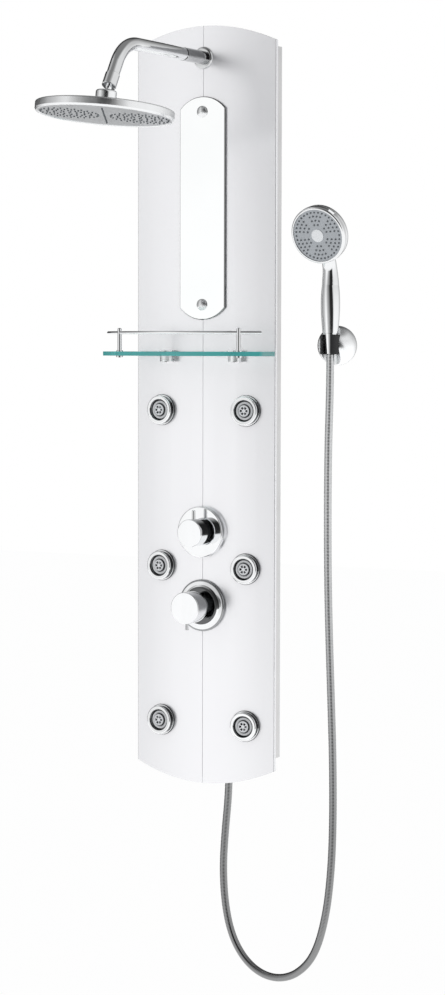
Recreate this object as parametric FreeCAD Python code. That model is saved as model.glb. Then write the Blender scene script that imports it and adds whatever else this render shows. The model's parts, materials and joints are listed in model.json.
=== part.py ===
import FreeCAD, Part

import math
import os

from FreeCAD import Placement, Rotation, Vector

# Shower panel column.  Millimetres.  X runs to the right along the wall, Y runs into the wall
# and Z runs up.  The wall is the plane y = 0 and the panel faces -Y.  The origin is the centre
# of the four holes that hang the column on the wall, which is also the middle of the panel.

OUT = Vector(0, -1, 0)
UP = Vector(0, 0, 1)
ALONG = Vector(1, 0, 0)

# ---- clearances ------------------------------------------------------------------------------
SEAT_GAP = 0.1          # between pieces that are fixed together
RUN_GAP = 0.3           # between pieces that move on one another
HOLE_GAP = 0.5          # round pieces that pass through the panel
CLEAR = 100.0           # cutting bodies reach at least this far past what they cut
HEX_SIDES = 6

# ---- front panel, two curved halves ----------------------------------------------------------
PANEL_WIDTH = 304.0
PANEL_HEIGHT = 1450.0
PANEL_REACH = 62.0      # wall to the front of the panel, on the centre line
PANEL_BOW = 10.0        # how far the sides lie behind the centre
PANEL_ARCH = 33.3       # rise of the arched top and bottom edges
SHEET = 2.5
SIDE_RETURN = 6.0       # edge of the sheet that turns back to the wall
SIDE_RADIUS = 1.8
SEAM = 0.8
STRIP_WIDTH = 66.0
STRIP_SHEET = 2.0
STRIP_INSET = 12.0      # the strip stops this far from the panel's ends

# ---- frame behind the panel and its wall brackets --------------------------------------------
FRAME_WIDTH = 272.0
FRAME_DROP = 41.0       # panel top to frame top
FRAME_TOP = PANEL_HEIGHT / 2 - FRAME_DROP
FRAME_BOTTOM = -672.0
FRAME_SHEET = 1.5
FRAME_LIP = 14.0
HOLE_SPACING_X = 180.0
HOLE_SPACING_Z = 1120.0
HOLE_RADIUS = 3.25
BRACKET_WIDTH = 220.0
BRACKET_HEIGHT = 44.0
BRACKET_SHEET = 2.0
BRACKET_STEP = 8.0      # the hooked edge stands this far off the plate
BRACKET_INSET = 22.0    # the hooked edge is this much shorter than the plate at each side
HOOK_HEIGHT = 12.0
HOOK_INSET = 20.0
HOOK_LIFT = 3.0         # the rail's hook stops this far above the bracket's step
RAIL_HEIGHT = 40.0
RAIL_GAP = 3.0          # between the hooked edge and the rail

# ---- overhead arm ----------------------------------------------------------------------------
ARM_DROP = 60.6         # panel top to the middle of the arm
ARM_Z = PANEL_HEIGHT / 2 - ARM_DROP
ARM_DIAMETER = 24.0
ARM_WALL = 2.5
ARM_CORNER_Y = -352.0   # where the level and the slanting stretch would meet
ARM_BEND = 80.0
ARM_LEAN = 31.0         # slanting stretch from the vertical, degrees
ARM_FLANGE_DIAMETER = 42.0
ARM_FLANGE_DEPTH = 5.0
FLANGE_SKIRT = 4.0      # cover plates are drawn this far into the curved panel, then trimmed to it
SLEEVE_DIAMETER = 25.6
SLEEVE_END_Y = -140.0
SLEEVE_TAIL_Y = -36.0
SPIGOT_RADIUS = 10.0
SPIGOT_LENGTH = 60.0
SPIGOT_PLAY = 2.0       # free depth behind the spigot in the sleeve
SLEEVE_SHOULDER = 8.0   # the sleeve's thick part starts this far behind the panel's front
COLLAR_DIAMETER = 26.6
COLLAR_LENGTH = 26.0
COLLAR_FLOOR = 6.0

# ---- swivel joint of the rain head -----------------------------------------------------------
ARM_TO_BALL = 115.4     # from the arm's corner to the ball, along the slanting stretch
BALL_RADIUS = 10.0
BALL_NECK_RADIUS = 5.0
STEM_RADIUS = 6.0
BALL_TO_COLLAR = 17.0
SEAT_WALL = 3.2
SEAT_TOP = 3.4
SEAT_BOTTOM = -5.6
NUT_RADIUS = 19.0
NUT_TOP = 7.0
NUT_LIP = 5.6           # height at which the hollow of the nut ends
NUT_BOTTOM = -8.0

# ---- rain head -------------------------------------------------------------------------------
HEAD_TILT = 4.8         # outer edge raised, degrees
HEAD_ROLL = 2.6         # left edge raised, degrees
HEAD_RADIUS = 125.0
HEAD_RIM_TOP = -23.0
HEAD_RIM_BOTTOM = -39.5
HEAD_LIP = 5.5
HEAD_CROWN = 3.5        # height of the dished top over the rim, at the middle of its slope
HEAD_CROWN_RADIUS = 70.0
HEAD_SHELL = 2.0
HEAD_RECESS = 1.2
HEAD_PLATE = 2.5
HEAD_SPIN = 29.0        # direction of the middle row of nozzles, degrees from -Y
HEAD_INLET_RADIUS = 7.0
LOBE_CENTRE = 63.0
LOBE_RINGS = (52.0, 40.0, 28.0, 15.0)
LOBE_PITCH = 12.6
ROW_PITCH = 12.5
ROW_COUNT = 15
NOZZLE_RADIUS = 2.0
NOZZLE_TIP_RADIUS = 1.3
NOZZLE_HEIGHT = 1.8

# ---- mirror ----------------------------------------------------------------------------------
MIRROR_WIDTH = 98.5
ARM_TO_MIRROR = 72.9
MIRROR_TOP = ARM_Z - ARM_TO_MIRROR
MIRROR_BOTTOM = 168.0
MIRROR_ARCH = 23.0
MIRROR_GLASS = 4.0
MIRROR_BEVEL = 1.5
MIRROR_STAND_OFF = 0.5
MIRROR_CAP_DIAMETER = 22.0
MIRROR_CAP_DEPTH = 6.0
MIRROR_CAP_INSET = 28.8
MIRROR_STUD_RADIUS = 3.5

# ---- glass shelf and its gallery rail --------------------------------------------------------
SHELF_TOP = 107.3
SHELF_GLASS = 8.0
SHELF_FRONT_Y = -196.0
SHELF_BACK_Y = -66.0
SHELF_CORNER = (174.0, -147.0)
SHELF_BACK_HALF = 159.0
SHELF_CORNER_RADIUS = 7.0
POST_X = 129.6
POST_Y = -155.7
POST_RADIUS = 4.0
POST_TOP = 152.0
POST_STUD_RADIUS = 3.0
POST_FOOT_RADIUS = 6.5
POST_FOOT = 1.6
POST_NUT = 2.6
POST_STUD_END = 1.0     # the stud shows this much under its nut
GALLERY_Z = 143.0
GALLERY_RADIUS = 2.8
GALLERY_FRONT_Y = -183.2
GALLERY_HALF = 167.0
CLAMP_X = 75.0
CLAMP_RADIUS = 14.0
CLAMP_REACH = 22.0
CLAMP_BELOW = 10.8
CLAMP_LIP = 2.0
CLAMP_LIP_REACH = 9.0
GRUB_PLACE = 0.6        # place of the set screw along the clamp
GRUB_RADIUS = 2.5
GRUB_PROUD = 1.2

# ---- two controls ----------------------------------------------------------------------------
DIVERTER_Z = -238.0
DIVERTER_FLANGE_RADIUS = 49.0
DIVERTER_FLANGE_DEPTH = 12.6
DIVERTER_FLANGE_FOOT = 46.0
DIVERTER_KNOB_RADIUS = 26.3
DIVERTER_REACH = 52.4   # knob face from the panel
DIVERTER_CAP = 26.4
DIVERTER_PIN_BACK = 17.0
DIVERTER_PIN_PROUD = 17.0
MIXER_Z = -380.0
MIXER_FLANGE_RADIUS = 50.0
MIXER_FLANGE_DEPTH = 6.0
MIXER_STEP_RADIUS = 38.5
MIXER_STEP_DEPTH = 11.0
MIXER_KNOB_RADIUS = 30.3
MIXER_REACH = 69.7
MIXER_CAP = 33.7
MIXER_PIN_BACK = 9.5
MIXER_PIN_PROUD = 13.0
PIN_RADIUS = 3.2
PIN_DEPTH = 10.0
KNOB_SOLID = 21.4       # the knobs are hollow further back than this from their faces
KNOB_WALL = 3.0
KNOB_NECK_RADIUS = 18.0
SPINDLE_RADIUS = 5.0
SPINDLE_LENGTH = 30.0
VALVE_SETBACK = 3.0     # valve bodies stay this far behind the front

# ---- body jets -------------------------------------------------------------------------------
JET_X = 92.5
JET_TOP_Z = -5.0
JET_PITCH = 301.5
JET_ROWS = 3
JET_FLANGE_RADIUS = 30.0
JET_RIM_RADIUS = 27.6
JET_WAIST_RADIUS = 24.0
JET_DEPTH = 13.0
JET_MOUTH_RADIUS = 19.5
JET_LIP_RADIUS = 17.6   # lip that keeps the ring in
JET_LIP_BACK = 5.0
JET_BORE_RADIUS = 18.9
JET_SHANK_RADIUS = 20.5
JET_SHANK = 18.0
JET_BALL_RADIUS = 14.0
JET_BALL_DEPTH = 3.0    # ball centre in front of the panel
JET_BALL_FACE = 10.0    # flat front of the ball from its centre
JET_BALL_BACK = -9.5
JET_BALL_DISH = 1.2
JET_RING_HEIGHT = 12.0
JET_GRIP = 4.5          # the ring holds the ball up to this height over its centre
JET_GROOVE = 1.8        # the ring opens by this much round the ball
JET_FEED_BORE = 15.0
JET_SPRAY_HOLES = 6
JET_SPRAY_CIRCLE = 5.6
JET_SPRAY_RADIUS = 2.0
JET_SPRAY_DEPTH = 5.0
JET_NUT_RADIUS = 27.0
JET_NUT = 6.0
JET_NUT_GAP = 0.5       # the nut is flat and the panel is curved

# ---- waterways behind the panel --------------------------------------------------------------
VALVE_RADIUS = 24.0
VALVE_BACK_Y = -14.0
VALVE_BRANCH_WALL = 2.0
INLET_SPACING = 150.0
INLET_Y = -26.0
INLET_BAR_RADIUS = 8.0
INLET_RADIUS = 10.48    # half-inch pipe thread
INLET_LENGTH = 13.0
INLET_END_Y = -4.0
INLET_HEX_RADIUS = 13.5
INLET_HEX_LENGTH = 5.0
TUBE_RADIUS = 7.5
RISER_Y = -26.0
RISER_CAP = 2.5
LINK_Y = -41.0          # short tubes from valve to valve and to the jets
LINK_RADIUS = 6.0
MANIFOLD_X = 98.0
MANIFOLD_Y = -28.0
MANIFOLD_CROSS_Z = -186.0
MANIFOLD_END = 16.0     # the tubes run this far past the outer jets
FEED_TAIL = 12.0        # feed stubs reach this far behind the jets' shanks
FEED_FLOOR = 4.0

# ---- hose outlet and hose --------------------------------------------------------------------
OUTLET_X = 48.0
OUTLET_Y = -42.0
OUTLET_TUBE_RADIUS = 6.0
OUTLET_END_Z = -679.0
OUTLET_RISE = 12.0      # the tube's top above the middle of the diverter
OUTLET_THREAD = 14.0
HOSE_DIAMETER = 14.5
HOSE_NUT_RADIUS = 11.5
HOSE_NUT_LENGTH = 26.0
HOSE_NUT_WALL = 2.5
HOSE_NUT_FLOOR = 12.0

# ---- hand shower -----------------------------------------------------------------------------
HAND_X = 271.5
SOCKET_TOP = Vector(HAND_X, -60.0, 141.0)   # where the handle enters the holder
HANDLE_STATIONS = ((1.0, 14.4), (34.0, 17.1), (64.0, 17.7), (90.0, 15.8))     # height, radius
NECK_STATIONS = ((1.2, 111.0, 14.2), (6.0, 131.0, 13.2), (15.0, 146.0, 14.4), (30.0, 159.0, 17.0))
CONE_TOP_RADIUS = 13.4
CONE_BOTTOM_RADIUS = 9.8
CONE_LENGTH = 37.0
FACE_CENTRE = SOCKET_TOP + Vector(0, -54.0, 179.5)
FACE_DROP = 19.4        # the face looks this far below level, degrees
FACE_RADIUS = 49.5
FACE_DOME = 1.2
RING_RADIUS = 54.5
RING_DEPTH = 10.0
TAB_WIDTH = 12.0
TAB_PROUD = 3.5
TAB_TURN = 38.0         # degrees clockwise from the top of the ring
HAND_BODY_DEPTH = 34.0
HAND_BODY_DRUM = 9.0    # the back stays round and full this far behind its joint
HAND_BACK_RADIUS = 30.0 # where the domed middle of the back begins
HAND_BACK_DOME = 2.2
HAND_CAP_RADIUS = 12.0
HAND_OUTER_RING = 44.0
HAND_RING_PITCH = 7.68
HAND_SECTORS = 6
HAND_SECTOR_ROWS = (36.5, 28.5, 20.5)       # each row has one nozzle less than the one outside it
HAND_NOZZLE_PITCH = 7.4

# ---- wall holder of the hand shower ----------------------------------------------------------
HOLDER_CENTRE = SOCKET_TOP + Vector(0, 29.0, -21.7)
HOLDER_RADIUS = 37.0
CLIP_RADIUS = 19.0
CLIP_TOP = -2.0         # from the socket's top
CLIP_LENGTH = 36.0
CLIP_SLOT = 17.0
BASE_RADIUS = 15.0
BASE_DEPTH = 8.0
BASE_HOLE_SPACING = 18.0
BASE_HOLE_RADIUS = 2.25

# Hose route from the outlet nut to the cone nut, x and z; its y goes evenly from one to the other.
HOSE_BENDS = (
    (48.0, -738.0),
    (39.0, -825.0),
    (35.0, -893.0),
    (40.0, -964.0),
    (55.0, -1021.0),
    (83.0, -1062.0),
    (121.0, -1086.5),
    (164.0, -1091.0),
    (206.5, -1074.5),
    (244.5, -1033.0),
    (268.0, -957.0),
    (279.0, -865.0),
    (282.0, -770.0),
    (281.0, -660.0),
    (276.5, -540.0),
    (271.5, -415.0),
    (268.5, -305.0),
    (267.5, -190.0),
    (268.0, -70.0),
    (271.5, 40.0),
)


# ---- helpers ---------------------------------------------------------------------------------
def outline(start, *steps):
    """A closed face from a start point, with (x, y) lines and (mid x, mid y, x, y) arcs."""
    edges = []
    here = Vector(start[0], start[1], 0)
    for step in steps:
        there = Vector(step[-2], step[-1], 0)
        if len(step) == 2:
            edges.append(Part.LineSegment(here, there).toShape())
        else:
            edges.append(Part.Arc(here, Vector(step[0], step[1], 0), there).toShape())
        here = there
    first = Vector(start[0], start[1], 0)
    if here.distanceToPoint(first) > 1e-6:
        edges.append(Part.LineSegment(here, first).toShape())
    return Part.Face(Part.Wire(edges))


def dome(radius, edge, top):
    """Step of an outline from (radius, edge) to (0, top), on a circle centred on the axis."""
    rise = top - edge
    ball = (radius * radius + rise * rise) / (2 * rise)
    middle = radius / 2
    return middle, top - ball + math.copysign(math.sqrt(ball * ball - middle * middle), ball), 0, top


def lathe(start, *steps):
    """Turns an outline of (radius, height) points about +Z."""
    section = outline(start, *steps)
    section.rotate(Vector(0, 0, 0), ALONG, 90)
    return section.revolve(Vector(0, 0, 0), UP, 360)


def aim(shape, at, axis):
    """Moves a shape so that its own +Z points along axis and its own origin is at a point."""
    shape = shape.copy()
    shape.Placement = Placement(at, Rotation(UP, axis)).multiply(shape.Placement)
    return shape


def hexagon(radius, z):
    """Closed six-sided outline at a height, with its corners at a radius."""
    corners = []
    for side in range(HEX_SIDES + 1):
        angle = 2 * math.pi * side / HEX_SIDES
        corners.append(Vector(radius * math.cos(angle), radius * math.sin(angle), z))
    return Part.makePolygon(corners)


def rod(start, end, radius):
    """A round bar between two points."""
    span = end - start
    return Part.makeCylinder(radius, span.Length, start, span)


def box(x0, x1, y0, y1, z0, z1):
    """A block between two corners."""
    return Part.makeBox(x1 - x0, y1 - y0, z1 - z0, Vector(x0, y0, z0))


def upright(face, y0, y1):
    """Extrudes an outline drawn in (x, z) from one y to another."""
    face = face.copy()
    face.rotate(Vector(0, 0, 0), ALONG, 90)
    face.translate(Vector(0, y1, 0))
    return face.extrude(Vector(0, y0 - y1, 0))


def group(shapes):
    return Part.makeCompound(shapes)


def export(name, shape):
    shape.exportStep(os.path.join("parts", name + ".step"))


def bow_radius():
    half = PANEL_WIDTH / 2
    return (half * half + PANEL_BOW * PANEL_BOW) / (2 * PANEL_BOW)


def panel_y(x, depth=0.0):
    """Y of the panel's front surface at x, or of a surface that lies some depth behind it."""
    radius = bow_radius() - depth
    return bow_radius() - PANEL_REACH - math.sqrt(radius * radius - x * x)


def panel_normal(x):
    """Outward direction of the panel's front at x."""
    centre_y = bow_radius() - PANEL_REACH
    normal = Vector(x, panel_y(x) - centre_y, 0)
    normal.normalize()
    return normal


def behind_panel(depth):
    """All the space that lies more than some depth behind the panel's front surface."""
    radius = bow_radius() - depth
    centre = Vector(0, bow_radius() - PANEL_REACH, -PANEL_HEIGHT)
    return Part.makeCylinder(radius, 2 * PANEL_HEIGHT, centre, UP)


def jet_places():
    """Name and centre on the panel's front of each body jet."""
    rows = ("upper", "middle", "lower")
    places = []
    for row in range(JET_ROWS):
        for side, x in (("left", -JET_X), ("right", JET_X)):
            z = JET_TOP_Z - row * JET_PITCH
            places.append((rows[row] + "_" + side, Vector(x, panel_y(x), z)))
    return places


# ---- front panel -----------------------------------------------------------------------------
def arch_outline(half_width, top, bottom, rise):
    """A tall outline with arched ends, in (x, z)."""
    return outline(
        (-half_width, bottom + rise),
        (0, bottom, half_width, bottom + rise),
        (half_width, top - rise),
        (0, top, -half_width, top - rise),
    )


def panel_openings():
    """Holes through the panel for the arm, the two controls and the jets."""
    holes = [rod(Vector(0, 0, ARM_Z), Vector(0, -CLEAR, ARM_Z), SLEEVE_DIAMETER / 2 + HOLE_GAP)]
    for z in (DIVERTER_Z, MIXER_Z):
        holes.append(rod(Vector(0, 0, z), Vector(0, -CLEAR, z), VALVE_RADIUS + HOLE_GAP))
    for _, place in jet_places():
        depth = panel_normal(place.x) * JET_SHANK
        holes.append(rod(place - depth, place + depth, JET_SHANK_RADIUS + RUN_GAP))
    return holes


def front_panel_half(side):
    """One curved half of the front, with its folded outer edge; side is -1 or 1."""
    half = PANEL_WIDTH / 2
    edge_front = panel_y(half)
    edge_back = edge_front + SIDE_RETURN
    middle = (half + SEAM / 2) / 2
    section = outline(
        (SEAM / 2, panel_y(SEAM / 2)),
        (middle, panel_y(middle), half - SIDE_RADIUS, panel_y(half - SIDE_RADIUS)),
        (half - 0.3 * SIDE_RADIUS, edge_front + 0.3 * SIDE_RADIUS, half, edge_front + SIDE_RADIUS),
        (half, edge_back),
        (half - SHEET, edge_back),
        (half - SHEET, panel_y(half - SHEET, SHEET)),
        (middle, panel_y(middle, SHEET), SEAM / 2, panel_y(SEAM / 2, SHEET)),
    )
    section.translate(Vector(0, 0, -PANEL_HEIGHT / 2))
    shell = section.extrude(Vector(0, 0, PANEL_HEIGHT))
    arch = arch_outline(half, PANEL_HEIGHT / 2, -PANEL_HEIGHT / 2, PANEL_ARCH)
    shell = shell.common(upright(arch, -CLEAR, 0))
    if side < 0:
        shell = shell.mirror(Vector(0, 0, 0), ALONG)
    return shell.cut(panel_openings())


def seam_strip():
    """Strip that joins the two halves from behind and shows dark in the seam."""
    depth = SHEET + SEAT_GAP
    half = STRIP_WIDTH / 2
    end = PANEL_HEIGHT / 2 - STRIP_INSET
    section = outline(
        (-half, panel_y(half, depth)),
        (0, panel_y(0, depth), half, panel_y(half, depth)),
        (half, panel_y(half, depth + STRIP_SHEET)),
        (0, panel_y(0, depth + STRIP_SHEET), -half, panel_y(half, depth + STRIP_SHEET)),
    )
    section.translate(Vector(0, 0, -end))
    return section.extrude(Vector(0, 0, 2 * end)).cut(panel_openings())


# ---- frame and brackets ----------------------------------------------------------------------
def bracket_places():
    return (HOLE_SPACING_Z / 2, -HOLE_SPACING_Z / 2)


def back_frame():
    """Folded sheet frame behind the panel, with two rails that hook over the brackets."""
    half = FRAME_WIDTH / 2
    inner = half - FRAME_SHEET
    low = FRAME_BOTTOM + FRAME_SHEET
    high = FRAME_TOP - FRAME_SHEET
    ring = box(-half, half, -CLEAR, 0, FRAME_BOTTOM, FRAME_TOP)
    ring = ring.cut(box(-inner, inner, -CLEAR, -FRAME_SHEET, low, high))
    window = half - FRAME_LIP
    ring = ring.cut(box(-window, window, -CLEAR, CLEAR, FRAME_BOTTOM + FRAME_LIP, FRAME_TOP - FRAME_LIP))
    pieces = [ring]
    hook_back = -BRACKET_SHEET - RUN_GAP
    hook_front = hook_back - FRAME_SHEET
    rail_back = -BRACKET_STEP - BRACKET_SHEET - RAIL_GAP
    rail_front = rail_back - FRAME_SHEET
    reach = BRACKET_WIDTH / 2 - HOOK_INSET
    for z in bracket_places():
        crest = z + BRACKET_HEIGHT / 2 + HOOK_HEIGHT + SEAT_GAP
        pieces.append(box(-inner, inner, rail_front, rail_back, crest - RAIL_HEIGHT, crest + FRAME_SHEET))
        pieces.append(box(-reach, reach, rail_back, hook_back, crest, crest + FRAME_SHEET))
        pieces.append(box(-reach, reach, hook_front, hook_back, crest - HOOK_HEIGHT + HOOK_LIFT, crest))
    frame = pieces[0].fuse(pieces[1:]).removeSplitter()
    frame = frame.common(behind_panel(SHEET + RUN_GAP))
    notch_half = STRIP_WIDTH / 2 + HOLE_GAP
    notch_back = panel_y(STRIP_WIDTH / 2, SHEET + SEAT_GAP + STRIP_SHEET) + RUN_GAP
    notch = box(-notch_half, notch_half, -CLEAR, notch_back, FRAME_BOTTOM - CLEAR, FRAME_TOP + CLEAR)
    outlet = Vector(OUTLET_X, OUTLET_Y, FRAME_BOTTOM)
    hole = rod(outlet - UP * FRAME_LIP, outlet + UP * FRAME_LIP, HOSE_NUT_RADIUS + HOLE_GAP)
    return frame.cut([notch, hole])


def wall_brackets():
    """Two bent plates that are screwed to the wall; the frame hangs on their raised edges."""
    plates = []
    half = BRACKET_WIDTH / 2
    reach = half - BRACKET_INSET
    front = -BRACKET_STEP - BRACKET_SHEET
    for z in bracket_places():
        top = z + BRACKET_HEIGHT / 2
        plate = box(-half, half, -BRACKET_SHEET, 0, z - BRACKET_HEIGHT / 2, top)
        step = box(-reach, reach, front, 0, top - BRACKET_SHEET, top)
        lip = box(-reach, reach, front, -BRACKET_STEP, top - BRACKET_SHEET, top + HOOK_HEIGHT)
        plate = plate.fuse([step, lip]).removeSplitter()
        for x in (-HOLE_SPACING_X / 2, HOLE_SPACING_X / 2):
            plate = plate.cut(rod(Vector(x, CLEAR, z), Vector(x, -CLEAR, z), HOLE_RADIUS))
        plates.append(plate)
    return group(plates)


# ---- overhead arm ----------------------------------------------------------------------------
def arm_slant():
    """Direction from the swivel ball up the slanting stretch of the arm."""
    lean = math.radians(ARM_LEAN)
    return Vector(0, math.sin(lean), math.cos(lean))


def ball_centre():
    return Vector(0, ARM_CORNER_Y, ARM_Z) - arm_slant() * ARM_TO_BALL


def bent_tube(start, corner, end, bend, radius):
    """A tube along two straight runs with one bend between them."""
    inward = start - corner
    outward = end - corner
    turn = math.pi - inward.getAngle(outward)
    inward.normalize()
    outward.normalize()
    tangent = bend * math.tan(turn / 2)
    first = corner + inward * tangent
    last = corner + outward * tangent
    bisector = inward + outward
    bisector.normalize()
    centre = corner + bisector * (bend / math.cos(turn / 2))
    middle = centre - bisector * bend
    path = Part.Wire([
        Part.LineSegment(start, first).toShape(),
        Part.Arc(first, middle, last).toShape(),
        Part.LineSegment(last, end).toShape(),
    ])
    ring = Part.Wire([Part.Circle(start, first - start, radius).toShape()])
    return path.makePipeShell([ring], True, False)


def arm_flange():
    """Domed cover plate where the arm leaves the panel."""
    bore = SLEEVE_DIAMETER / 2 + SEAT_GAP
    edge = ARM_FLANGE_DIAMETER / 2
    plate = lathe(
        (bore, -FLANGE_SKIRT),
        (edge, -FLANGE_SKIRT),
        (edge, 1.4),
        (edge - 1.8, 3.9, bore + 2.5, ARM_FLANGE_DEPTH),
        (bore, ARM_FLANGE_DEPTH),
    )
    plate = aim(plate, Vector(0, -PANEL_REACH, ARM_Z), OUT)
    return plate.cut(behind_panel(-SEAT_GAP))


def arm_sleeve():
    """Socket that carries the arm through the panel, with a threaded tail behind it."""
    outer = SLEEVE_DIAMETER / 2
    length = SLEEVE_TAIL_Y - SLEEVE_END_Y
    shoulder = SLEEVE_TAIL_Y + PANEL_REACH - SLEEVE_SHOULDER
    bore = SPIGOT_RADIUS + SEAT_GAP
    floor = length - SPIGOT_LENGTH - SPIGOT_PLAY
    sleeve = lathe(
        (SPIGOT_RADIUS - ARM_WALL, 0),
        (INLET_RADIUS, 0),
        (INLET_RADIUS, shoulder),
        (outer, shoulder),
        (outer, length),
        (bore, length),
        (bore, floor),
        (SPIGOT_RADIUS - ARM_WALL, floor),
    )
    return aim(sleeve, Vector(0, SLEEVE_TAIL_Y, ARM_Z), OUT)


def shower_arm():
    """Bent tube that carries the rain head, with a turned-down spigot inside the sleeve."""
    corner = Vector(0, ARM_CORNER_Y, ARM_Z)
    start = Vector(0, SLEEVE_END_Y - SEAT_GAP, ARM_Z)
    end = ball_centre() + arm_slant() * (BALL_TO_COLLAR + COLLAR_FLOOR + SEAT_GAP)
    radius = ARM_DIAMETER / 2
    tube = bent_tube(start, corner, end, ARM_BEND, radius)
    tail = start - OUT * SPIGOT_LENGTH
    tube = tube.fuse(rod(tail, start, SPIGOT_RADIUS))
    bore = bent_tube(tail - OUT, corner, end - arm_slant(), ARM_BEND, SPIGOT_RADIUS - ARM_WALL)
    return tube.cut(bore)


def arm_collar():
    """Collar on the end of the arm that holds the stem of the swivel ball."""
    outer = COLLAR_DIAMETER / 2
    sleeve = lathe(
        (STEM_RADIUS + SEAT_GAP, 0),
        (outer - 1, 0),
        (outer, 1),
        (outer, COLLAR_LENGTH - 1),
        (outer - 0.9, COLLAR_LENGTH),
        (ARM_DIAMETER / 2 + SEAT_GAP, COLLAR_LENGTH),
        (ARM_DIAMETER / 2 + SEAT_GAP, COLLAR_FLOOR),
        (STEM_RADIUS + SEAT_GAP, COLLAR_FLOOR),
    )
    return aim(sleeve, ball_centre() + arm_slant() * BALL_TO_COLLAR, arm_slant())


def swivel_ball():
    """Ball and stem on which the rain head tilts."""
    stem_top = BALL_TO_COLLAR + COLLAR_FLOOR
    join = math.sqrt(BALL_RADIUS ** 2 - BALL_NECK_RADIUS ** 2)
    ball = lathe(
        (0, -BALL_RADIUS),
        (BALL_RADIUS, 0, BALL_NECK_RADIUS, join),
        (BALL_NECK_RADIUS, join + 2),
        (STEM_RADIUS, join + 5),
        (STEM_RADIUS, stem_top),
        (0, stem_top),
    )
    return aim(ball, ball_centre(), arm_slant())


# ---- rain head -------------------------------------------------------------------------------
def head_axis():
    """Direction from the rain head's face back up to the ball."""
    tilt = math.radians(HEAD_TILT)
    roll = math.radians(HEAD_ROLL)
    axis = Vector(math.sin(roll), math.sin(tilt), math.cos(tilt))
    axis.normalize()
    return axis


def on_head(shape):
    """Places a shape, drawn with the ball at its origin, on the tilted head."""
    return aim(shape, ball_centre(), head_axis())


def zone_radius(radius, height):
    return math.sqrt(radius * radius - height * height)


def swivel_seat_ring():
    """Seal ring with a hollow face on the ball and a round face in the nut."""
    inside = BALL_RADIUS + RUN_GAP
    outside = BALL_RADIUS + SEAT_WALL
    return on_head(lathe(
        (zone_radius(inside, SEAT_BOTTOM), SEAT_BOTTOM),
        (zone_radius(outside, SEAT_BOTTOM), SEAT_BOTTOM),
        (outside, 0, zone_radius(outside, SEAT_TOP), SEAT_TOP),
        (zone_radius(inside, SEAT_TOP), SEAT_TOP),
        (inside, 0, zone_radius(inside, SEAT_BOTTOM), SEAT_BOTTOM),
    ))


def swivel_nut():
    """Round nut that holds the head to the ball."""
    inside = BALL_RADIUS + SEAT_WALL + RUN_GAP
    neck = zone_radius(inside, NUT_LIP)
    floor = zone_radius(inside, NUT_BOTTOM)
    return on_head(lathe(
        (floor, NUT_BOTTOM),
        (NUT_RADIUS, NUT_BOTTOM),
        (NUT_RADIUS, 3.0),
        (NUT_RADIUS - 1, NUT_LIP, NUT_RADIUS - 3.4, NUT_TOP),
        (NUT_RADIUS - 3.8, NUT_TOP),
        (neck, NUT_LIP),
        (inside, 0, floor, NUT_BOTTOM),
    ))


def head_shell():
    """Thin dished housing with a turned rim."""
    rim = HEAD_RADIUS
    plate_top = HEAD_RIM_BOTTOM + HEAD_RECESS + HEAD_PLATE + SEAT_GAP
    plate_edge = rim - HEAD_LIP
    boss = NUT_RADIUS - 1.5
    top = NUT_BOTTOM - SEAT_GAP
    crown = HEAD_RIM_TOP + HEAD_CROWN
    return on_head(lathe(
        (HEAD_INLET_RADIUS, top),
        (boss, top),
        (boss, top - 3),
        (boss + 12, top - 8, HEAD_CROWN_RADIUS, crown),
        (rim - 3, HEAD_RIM_TOP),
        (rim - 0.8, HEAD_RIM_TOP - 0.8, rim, HEAD_RIM_TOP - 3),
        (rim, HEAD_RIM_BOTTOM + 3.5),
        (rim - 2.2, HEAD_RIM_BOTTOM),
        (plate_edge + 1.2, HEAD_RIM_BOTTOM),
        (plate_edge, HEAD_RIM_BOTTOM + HEAD_RECESS),
        (plate_edge, plate_top),
        (plate_edge - 2, plate_top),
        (plate_edge - 2, HEAD_RIM_TOP - HEAD_SHELL),
        (HEAD_CROWN_RADIUS, crown - HEAD_SHELL),
        (HEAD_INLET_RADIUS, top - 8 - HEAD_SHELL),
    ))


def head_nozzle_plate():
    """Plate that carries the nozzles, set into the rim."""
    face = HEAD_RIM_BOTTOM + HEAD_RECESS
    return on_head(lathe(
        (0, face),
        (HEAD_RADIUS - HEAD_LIP - SEAT_GAP, face),
        (HEAD_RADIUS - HEAD_LIP - SEAT_GAP, face + HEAD_PLATE),
        (0, face + HEAD_PLATE),
    ))


def head_nozzle_places():
    """Two round lobes of nozzles with a straight row between them."""
    places = []
    for lobe in (-1, 1):
        places.append((lobe * LOBE_CENTRE, 0.0))
        for radius in LOBE_RINGS:
            count = round(2 * math.pi * radius / LOBE_PITCH)
            for index in range(count):
                angle = 2 * math.pi * (index + 0.5) / count
                places.append((lobe * LOBE_CENTRE + radius * math.cos(angle), radius * math.sin(angle)))
    for index in range(ROW_COUNT):
        places.append((0.0, (index - (ROW_COUNT - 1) / 2) * ROW_PITCH))
    return places


def nozzle(base_radius, tip_radius, height):
    """A small six-sided rubber nozzle that points along -Z."""
    return Part.makeLoft([hexagon(base_radius, 0), hexagon(tip_radius, -height)], True, True)


def head_nozzles():
    face = HEAD_RIM_BOTTOM + HEAD_RECESS - SEAT_GAP / 5
    one = nozzle(NOZZLE_RADIUS, NOZZLE_TIP_RADIUS, NOZZLE_HEIGHT)
    spin = math.radians(HEAD_SPIN)
    nozzles = []
    for x, y in head_nozzle_places():
        copy = one.copy()
        copy.translate(Vector(
            x * math.cos(spin) - y * math.sin(spin),
            x * math.sin(spin) + y * math.cos(spin),
            face,
        ))
        nozzles.append(copy)
    return on_head(group(nozzles))


# ---- mirror ----------------------------------------------------------------------------------
def mirror_back_y():
    return -PANEL_REACH - MIRROR_STAND_OFF


def mirror_cap_heights():
    return (MIRROR_TOP - MIRROR_CAP_INSET, MIRROR_BOTTOM + MIRROR_CAP_INSET)


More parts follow.
